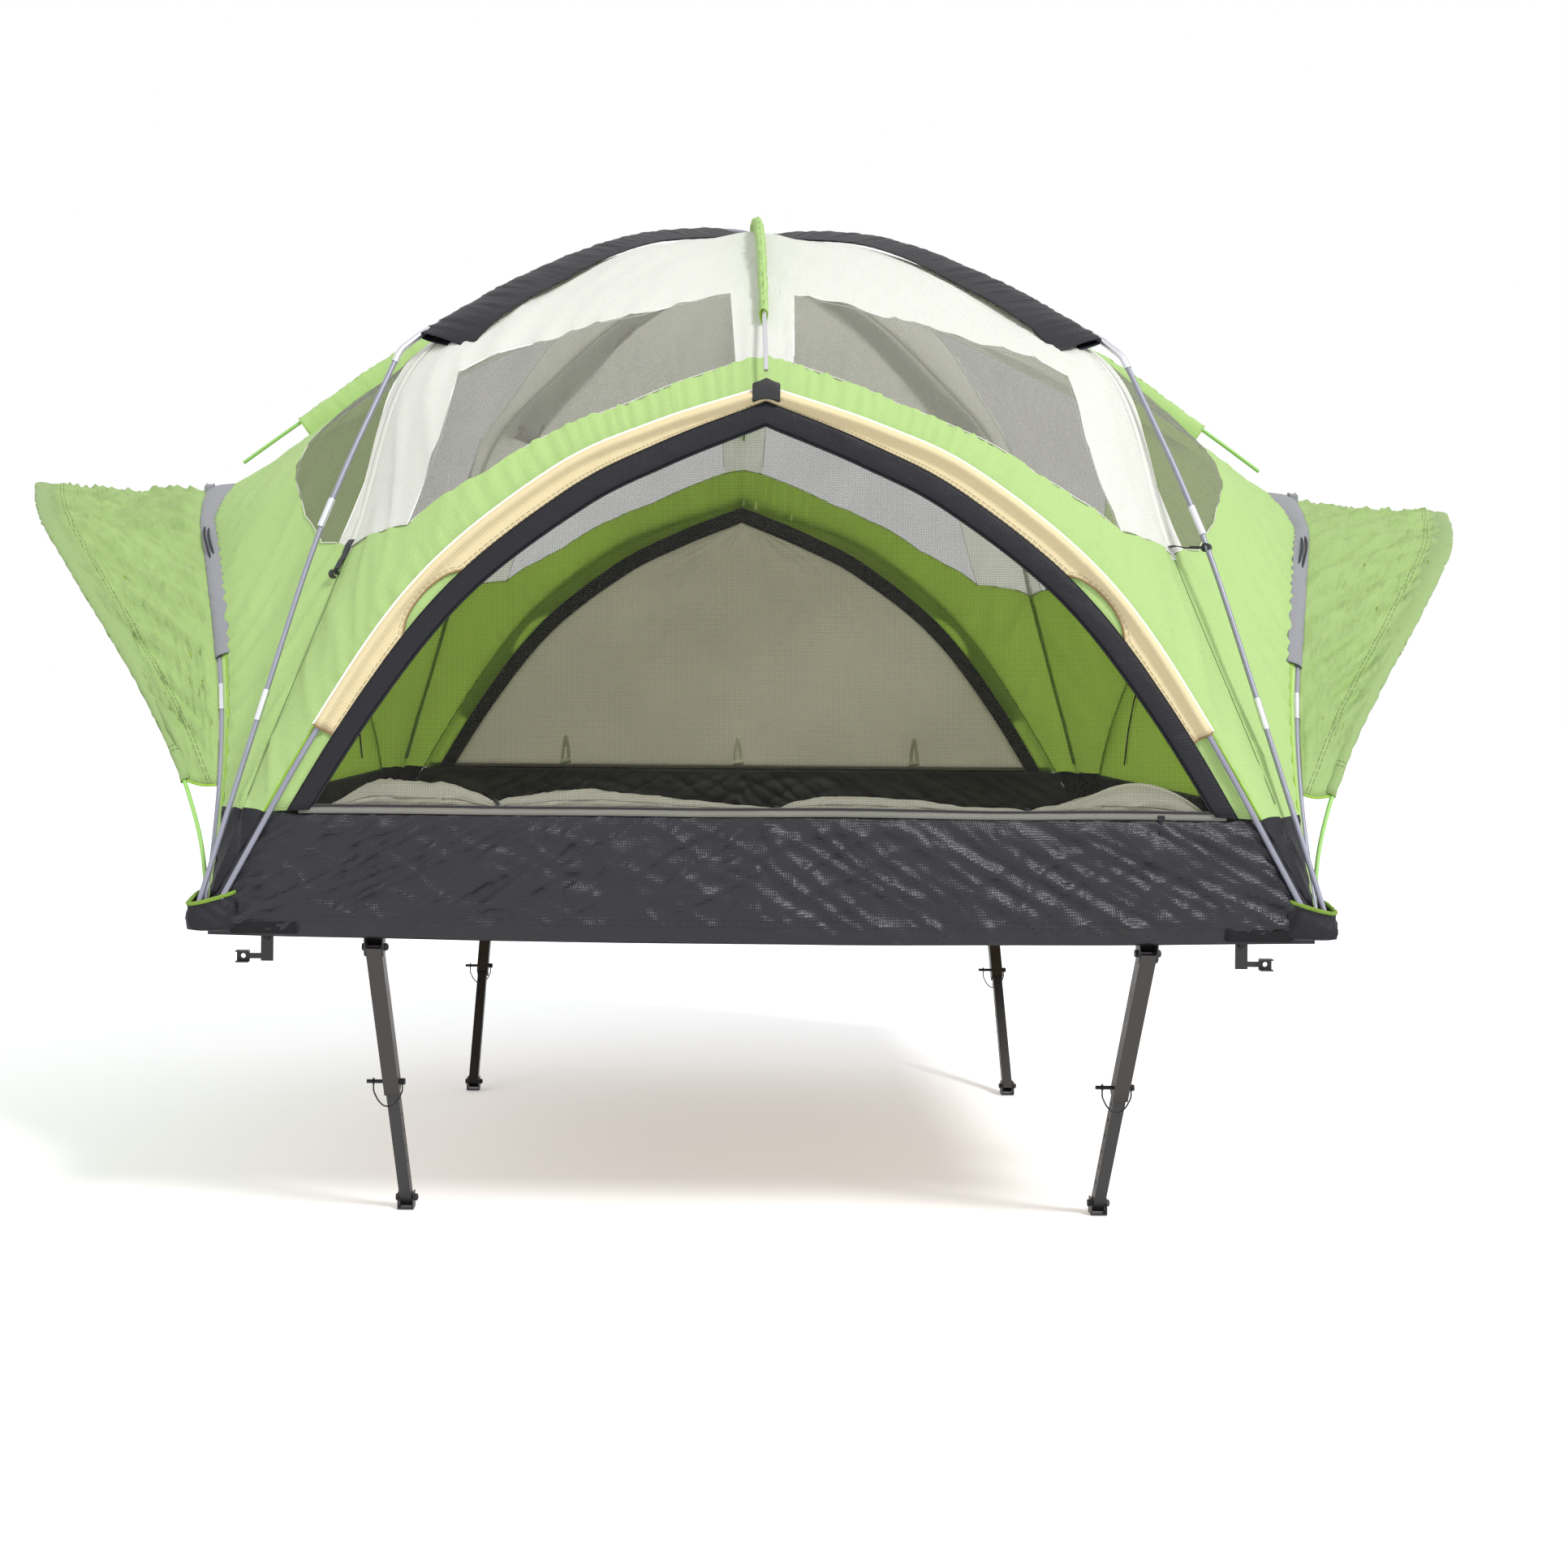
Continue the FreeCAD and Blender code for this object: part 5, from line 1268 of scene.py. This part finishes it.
class SCREENHOUSE_OT_awnings(bpy.types.Operator):
    """Makes the two awnings and the hems over their hoops"""

    bl_idname = "screen_house.awnings"
    bl_label = "Awnings"

    def execute(self, context):
        for name, side in ENDS.items():
            body = name + "_awning_frame"
            first = AWNING_HEM / 2
            depth = sizes().awning_crease

            def spot(u, first=first):
                return first + (1 - 2 * first) * u

            def place(u, v, name=name, side=side, spot=spot):
                low = end_hoop(side, spot(u))
                high = awning_hoop(name, spot(u))
                step = (high - low).normalized()
                point = (low + step * 0.0070).lerp(high - step * 0.004, v)
                share = half_share(u)
                belly = math.sin(math.pi * v) * 0.012 * (0.4 + 0.6 * share)
                return point - Vector((0, 0, belly))

            span = length_of([place(i / 60, 0.5) for i in range(61)])
            rungs = [(place(i / 60, 1) - place(i / 60, 0)).length for i in range(61)]

            def flat(u, v, span=span, rungs=rungs):
                i = min(int(u * 60), 59)
                rung = rungs[i] + (rungs[i + 1] - rungs[i]) * (u * 60 - i)
                return u * span, (1 - v) * rung

            def wrinkle(u, v, flat=flat, depth=depth, side=side):
                x, y = flat(u, v)
                lean = -0.70 if u < 0.5 else 0.70
                body_wave = pinned(v, 0.10) * pinned(u, 0.04)
                folds = depth * crease(x, y, 81.0 + side, 0.50, 0.060, lean)
                folds += depth * 0.8 * crease(x, y, 85.0 + side, 0.36, 0.034, lean * 0.6)
                folds += depth * 0.4 * crease(x, y, 89.0 + side, 0.20, 0.020, lean * 1.2)
                return body_wave * (folds + 0.006 * swell(x, y, 87.0, 0.22)) - 0.004 * body_wave

            obj = cloth(name + "_awning_cloth", place, (150, 40), flat, ["green_awning_taffeta"],
                        wrinkle=wrinkle, outward=lambda p: Vector((p.x, p.y * 0.6, 0.8)), body=None, slot="green_cloth",
                        nodes=[name + "_awning"], held="stretched",
                        rests_on=[name + "_end_hoop", name + "_awning_hoop"])
            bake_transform(obj)
            spots = [spot(i / 120) for i in range(121)]
            line = [awning_hoop(name, s) for s in spots]
            inner = [end_hoop(side, s) for s in spots]
            hem = sizes().awning_hem
            lower = [a + (b - a).normalized() * min(hem, (b - a).length * 0.2) for a, b in zip(line, inner)]
            sleeve(name + "_awning_hem", line, lower, 0.0072, "green_awning_taffeta", 90.0 + side,
                   "green_cloth", [name + "_awning_hoop"], body=body, count=170, gather=0.0026)
            edges = [[place(u, i / 30) for i in range(31)] for u in (0.0, 1.0)]
            hems = piping(name + "_awning_lower_piping", edges, 0.0026, "green_piping_cord", body=None,
                          slot="green_cloth")
            mesh = bpy.data.meshes.new_from_object(hems)
            low_hem = bpy.data.objects.new(name + "_awning_lower_hem", mesh)
            bpy.data.objects.remove(hems)
            link(low_hem, [], body=None, slot="green_cloth")
            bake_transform(low_hem)
        return {"FINISHED"}


# ---------------------------------------------------------------- small pieces

LEG = curve_through([Vector((0.766, 0, 1.200)), Vector((0.895, 0, 0.842)), Vector((1.000, 0, 0.447)),
                     Vector((1.106, 0, 0.030))], 20)


def clip_mesh(bm, start, out, reach):
    """Webbing strap with a stitched end, and a moulded hook that opens downwards round the pole."""
    part = bmesh.new()
    bmesh.ops.create_cube(part, size=1.0)
    bmesh.ops.scale(part, vec=(reach * 0.62, 0.018, 0.0022), verts=part.verts)
    bmesh.ops.translate(part, verts=part.verts, vec=(reach * 0.31, 0, 0))
    bmesh.ops.subdivide_edges(part, edges=part.edges[:], cuts=3, use_grid_fill=True)
    for v in part.verts:
        v.co.z += 0.002 * math.sin(v.co.x / reach * 9)
    shape = [(0.0, -0.0065, 0.0052), (0.0, 0.0065, 0.0052), (0.0, 0.0065, 0.0095), (0.0, -0.0065, 0.0095)]
    ring = [part.verts.new(co) for co in shape]
    face = part.faces.new(ring)
    bmesh.ops.spin(part, geom=[face], cent=(0, 0, 0), axis=(0, 1, 0), angle=math.radians(285), steps=18,
                   dvec=(0, 0, 0))
    hook = [v for v in part.verts if v.co.length < 0.0125 and v.co.x < 0.0105 and abs(v.co.y) < 0.0066
            and abs(math.hypot(v.co.x, v.co.z) - 0.0074) < 0.0026 and abs(abs(v.co.y) - 0.0065) < 1e-4]
    bmesh.ops.rotate(part, verts=hook, cent=(0, 0, 0), matrix=Matrix.Rotation(math.radians(200), 3, "Y"))
    bmesh.ops.translate(part, verts=hook, vec=(reach + 0.0045, 0, 0))
    bridge = bmesh.ops.create_cube(part, size=1.0)["verts"]
    bmesh.ops.scale(part, vec=(reach * 0.32, 0.014, 0.0052), verts=bridge)
    bmesh.ops.translate(part, verts=bridge, vec=(reach * 0.76, 0, 0))
    edges = [e for e in part.edges if e.verts[0] in bridge]
    bmesh.ops.bevel(part, geom=edges, offset=0.0014, segments=2, profile=0.5, affect="EDGES", material=-1)
    bmesh.ops.recalc_face_normals(part, faces=part.faces)
    along_x = out.normalized()
    side = Vector((0, 0, 1)).cross(along_x).normalized()
    up = along_x.cross(side)
    turn = Matrix((along_x, side, up)).transposed()
    bmesh.ops.rotate(part, verts=part.verts, cent=(0, 0, 0), matrix=turn)
    bmesh.ops.translate(part, verts=part.verts, vec=start)
    add_part(bm, part)


class SCREENHOUSE_OT_clips(bpy.types.Operator):
    """Makes the hooks that hold the canopy's shoulders to the poles, one of them hanging free"""

    bl_idname = "screen_house.clips"
    bl_label = "Pole clips"

    def execute(self, context):
        pole = next(p for p in LEG if p.z <= SHOULDER_Z + 0.006)
        hooked = bmesh.new()
        for way_x, way_y in ((1, -1), (-1, 1), (1, 1)):
            shoulder = Vector((way_x * SHOULDER, way_y * SHOULDER * WALL_Y / WALL_X, SHOULDER_Z))
            start = shoulder + Vector((way_x, way_y, 0)).normalized() * 0.0035
            end = Vector((way_x * pole.x, way_y * pole.x, pole.z))
            out = end - start
            clip_mesh(hooked, start, out, out.length - POLE_RADIUS - 0.0015)
        link(mesh_object("hooked_clips", hooked, smooth=False), ["moulded_black_nylon"], slot="black_plastic",
             nodes=["hooked_pole_clips"])
        free = bmesh.new()
        shoulder = Vector((-SHOULDER, -SHOULDER * WALL_Y / WALL_X, SHOULDER_Z))
        start = shoulder + Vector((-1, -1, 0)).normalized() * 0.0045
        clip_mesh(free, start, Vector((-0.42, -0.42, -1.0)), 0.080)
        link(mesh_object("free_clip", free, smooth=False), ["moulded_black_nylon"], body="loose_clip",
             slot="black_plastic", nodes=["loose_pole_clip"])
        return {"FINISHED"}


# How high the rolled door stands along the sill: (place along X, height).
ROLL_HEIGHTS = ((-0.846, 0.012), (-0.742, 0.056), (-0.621, 0.052), (-0.520, 0.026), (-0.352, 0.041),
                (-0.109, 0.022), (0.012, 0.014), (0.106, 0.031), (0.228, 0.031), (0.510, 0.013),
                (0.672, 0.048), (0.780, 0.042), (0.846, 0.012))
ROLL_HALF = 0.842
ROLL_TIES = (-0.520, 0.030, 0.520)
LOOP_PLACES = (-0.534, -0.005, 0.533)


class SCREENHOUSE_OT_sill(bpy.types.Operator):
    """Makes the rolled door, its ties, the sill tape with its zip, and the three loops"""

    bl_idname = "screen_house.sill"
    bl_label = "Rolled door and sill"

    def execute(self, context):
        heights = curve_through([Vector((x, 0, z)) for x, z in ROLL_HEIGHTS], 8)

        def radius_at(x):
            i = next((k for k in range(1, len(heights)) if heights[k].x >= x), len(heights) - 1)
            a, b = heights[i - 1], heights[i]
            height = a.z + (b.z - a.z) * (x - a.x) / max(b.x - a.x, 1e-6)
            height *= 1 + 0.16 * swell(x, 0, 95.0, 0.09)
            for tie in ROLL_TIES:
                height *= 1 - 0.30 * math.exp(-((x - tie) / 0.016) ** 2)
            return max(0.004, height / 2)

        def roll(u, v):
            x = (2 * v - 1) * ROLL_HALF
            r = radius_at(x)
            turn = 2 * math.pi * u + 0.5 * swell(x, 1, 97.0, 0.4)
            fold = 0.20 * r * crease(x, u * 0.14, 99.0, 0.12, 0.022, 0.25)
            loop = r + (fold + 0.0025 * swell(x * 3, u, 98.0, 0.12))
            floor = SKIRT_TOP + 0.003
            return Vector((x, -(WALL_Y - 0.0035 - r * 0.82) - loop * 0.80 * math.cos(turn),
                           max(floor, floor + r * 0.98 + loop * math.sin(turn))))

        cloth("rolled_door_cloth", roll, (32, 200), (0.135, 2 * ROLL_HALF), ["grey_beige_door_polyester"],
              outward=lambda p: p - Vector((p.x, -(WALL_Y - 0.02), SKIRT_TOP + 0.02)), slot="door_cloth",
              nodes=["rolled_door"], held="folded", rests_on=["screen_panel", "floor_cloth"], tube=True)
        bands = []
        for tie in ROLL_TIES:
            inner = radius_at(tie)
            r = inner + 0.004
            centre = Vector((tie, -(WALL_Y - 0.0035 - inner * 0.82), SKIRT_TOP + 0.003 + inner))
            bands.append([centre + Vector((0.004 * math.sin(3 * a), -r * 0.9 * math.cos(a), r * math.sin(a)))
                          for a in [2 * math.pi * i / 24 for i in range(25)]])
        piping("roll_ties", bands, 0.0032, "charcoal_piping_cord", slot="black_cloth")

        def corner(u, v):
            x = 0.60 + 0.30 * u
            top = SKIRT_TOP + 0.012 + 0.058 * math.sin(math.pi * min(1.0, u * 1.15)) ** 0.8
            z = SKIRT_TOP + 0.006 + (top - SKIRT_TOP - 0.006) * v
            return Vector((x, -(WALL_Y - 0.006 - 0.006 * swell(u, v, 7.0, 0.3)), z))

        cloth("door_flap_corner", corner, (40, 10), lambda u, v: (u * 0.30, v * 0.05),
              ["grey_beige_door_polyester"], outward=facing(0, -1), slot="door_cloth",
              held="hung", rests_on=["screen_panel"])
        spots = [(i / 120 * 2 - 1) * 0.905 for i in range(121)]
        line = [Vector((x, -WALL_Y - 0.0012, SKIRT_TOP + 0.007 + 0.003 * swell(x, 0, 13.0, 0.3)))
                for x in spots]
        ribbon("sill_tape", [line], sizes().sill, facing(0, -1), "grey_sill_tape", lift=0.002,
               ripple=0.0012, slot="zip_metal")
        coil = [p + Vector((0, -0.0035, 0.0062)) for p in line]
        piping("sill_zip_coil", [coil], 0.0023, "charcoal_piping_cord", slot="black_cloth")
        far = [Vector((x * 1.056, WALL_Y - 0.0012, SKIRT_TOP + 0.006)) for x in spots]
        ribbon("far_sill_tape", [far], sizes().sill, facing(0, 1), "charcoal_coated_oxford",
               lift=0.003, slot="black_cloth")
        loops = []
        toggles = []
        for x in LOOP_PLACES:
            y = WALL_Y - 0.026
            turns = [2 * math.pi * i / 28 for i in range(29)]
            loops.append([Vector((x + 0.013 * math.sin(a) * (0.6 + 0.4 * math.cos(a)), y,
                                  0.300 - 0.040 * math.cos(a))) for a in turns])
            toggles.append([Vector((x - 0.016, y - 0.004, 0.262)), Vector((x + 0.016, y - 0.004, 0.266))])
        piping("tie_loops", loops, 0.0050, "cream_loop_cord", slot="door_cloth")
        piping("tie_toggles", toggles, 0.0070, "cream_loop_cord", slot="door_cloth")
        return {"FINISHED"}


# ---------------------------------------------------------------- stage

LENS = 44.7
SENSOR = 36.0
LENS_SHIFT = (0.0533, -0.0600)
CAMERA_PLACE = (-0.123, -4.896, 0.485)
CAMERA_ROLL = 0.5           # degrees
STAGE_HALF = 60.0
# Name, angle, strength, tilt and turn of each sun, in degrees and watts a square metre.
SUNS = (("key_sun", 12, 2.5, 50, 38), ("fill_sun", 60, 0.35, 62, -45))


def seen_directly(tree):
    """1 where a ray comes straight from the camera, off a shiny face or through a clear one."""
    path = add_node(tree, "ShaderNodeLightPath")
    seen = maths(tree, "MAXIMUM", path.outputs["Is Camera Ray"], path.outputs["Is Glossy Ray"])
    return maths(tree, "MAXIMUM", seen, path.outputs["Is Transmission Ray"])


class SCREENHOUSE_OT_stage(bpy.types.Operator):
    """Makes the camera, the floor, the lamps and the plain white surroundings"""

    bl_idname = "screen_house.stage"
    bl_label = "Stage"

    def execute(self, context):
        scene = context.scene
        scene.view_settings.view_transform = "Standard"
        data = bpy.data.cameras.new("camera")
        data.lens = LENS
        data.sensor_width = SENSOR
        data.shift_x, data.shift_y = LENS_SHIFT
        camera = bpy.data.objects.new("camera", data)
        scene.collection.objects.link(camera)
        camera.location = CAMERA_PLACE
        upright = Matrix.Rotation(math.pi / 2, 3, "X") @ Matrix.Rotation(math.radians(CAMERA_ROLL), 3, "Z")
        camera.rotation_euler = upright.to_euler()
        scene.camera = camera

        tree = new_material("pale_floor")
        plain = add_node(tree, "ShaderNodeBsdfDiffuse", {"Color": (0.86, 0.86, 0.86, 1)}).outputs[0]
        glow = add_node(tree, "ShaderNodeEmission", {"Color": (1, 1, 1, 1), "Strength": 0.30}).outputs[0]
        both = add_node(tree, "ShaderNodeAddShader", links={0: plain, 1: glow}).outputs[0]
        finish(tree, add_node(tree, "ShaderNodeMixShader",
                              links={0: seen_directly(tree), 1: plain, 2: both}).outputs[0])
        bm = bmesh.new()
        bmesh.ops.create_grid(bm, x_segments=1, y_segments=1, size=STAGE_HALF)
        bmesh.ops.translate(bm, verts=bm.verts, vec=(0, 0, CAD_BOX[0].z - 0.002))
        floor = mesh_object("floor", bm)
        scene.collection.objects.link(floor)
        floor.data.materials.append(bpy.data.materials["pale_floor"])

        world = bpy.data.worlds.new("surroundings")
        scene.world = world
        world.use_nodes = True
        tree = world.node_tree
        tree.nodes.clear()
        light, white = (add_node(tree, "ShaderNodeBackground",
                                 {"Color": colour, "Strength": strength}).outputs[0]
                        for colour, strength in (((0.97, 0.985, 1, 1), 0.84), ((1, 1, 1, 1), 1.0)))
        mix = add_node(tree, "ShaderNodeMixShader",
                       links={0: seen_directly(tree), 1: light, 2: white}).outputs[0]
        add_node(tree, "ShaderNodeOutputWorld", links={"Surface": mix})

        for name, angle, strength, tilt, turn in SUNS:
            lamp = bpy.data.lights.new(name, "SUN")
            lamp.energy = strength
            lamp.angle = math.radians(angle)
            lamp_object = bpy.data.objects.new(name, lamp)
            scene.collection.objects.link(lamp_object)
            lamp_object.rotation_euler = (math.radians(tilt), 0, math.radians(turn))
        return {"FINISHED"}


class SCREENHOUSE_PT_panel(bpy.types.Panel):
    """Lists the operators, the sizes and the colours"""

    bl_idname = "SCREENHOUSE_PT_panel"
    bl_label = "Screen House"
    bl_space_type = "VIEW_3D"
    bl_region_type = "UI"
    bl_category = "Screen House"

    def draw(self, context):
        for operator in OPERATORS:
            self.layout.operator(operator.bl_idname)
        for group in (sizes(), colours()):
            for name in group.bl_rna.properties.keys():
                if name not in ("rna_type", "name"):
                    self.layout.prop(group, name)


OPERATORS = (
    SCREENHOUSE_OT_finishes,
    SCREENHOUSE_OT_stage,
    SCREENHOUSE_OT_canopy,
    SCREENHOUSE_OT_doors,
    SCREENHOUSE_OT_walls,
    SCREENHOUSE_OT_sleeves,
    SCREENHOUSE_OT_pockets,
    SCREENHOUSE_OT_awnings,
    SCREENHOUSE_OT_clips,
    SCREENHOUSE_OT_sill,
)
CLASSES = (ScreenHouseColours, ScreenHouseSizes) + OPERATORS + (SCREENHOUSE_PT_panel,)


def register():
    for item in CLASSES:
        bpy.utils.register_class(item)
    bpy.types.Scene.screen_house_colours = bpy.props.PointerProperty(type=ScreenHouseColours)
    bpy.types.Scene.screen_house_sizes = bpy.props.PointerProperty(type=ScreenHouseSizes)


def unregister():
    del bpy.types.Scene.screen_house_colours
    del bpy.types.Scene.screen_house_sizes
    for item in reversed(CLASSES):
        bpy.utils.unregister_class(item)


def main():
    register()
    for operator in OPERATORS:
        getattr(bpy.ops.screen_house, operator.bl_idname.split(".")[1])()


if __name__ == "__main__":
    main()
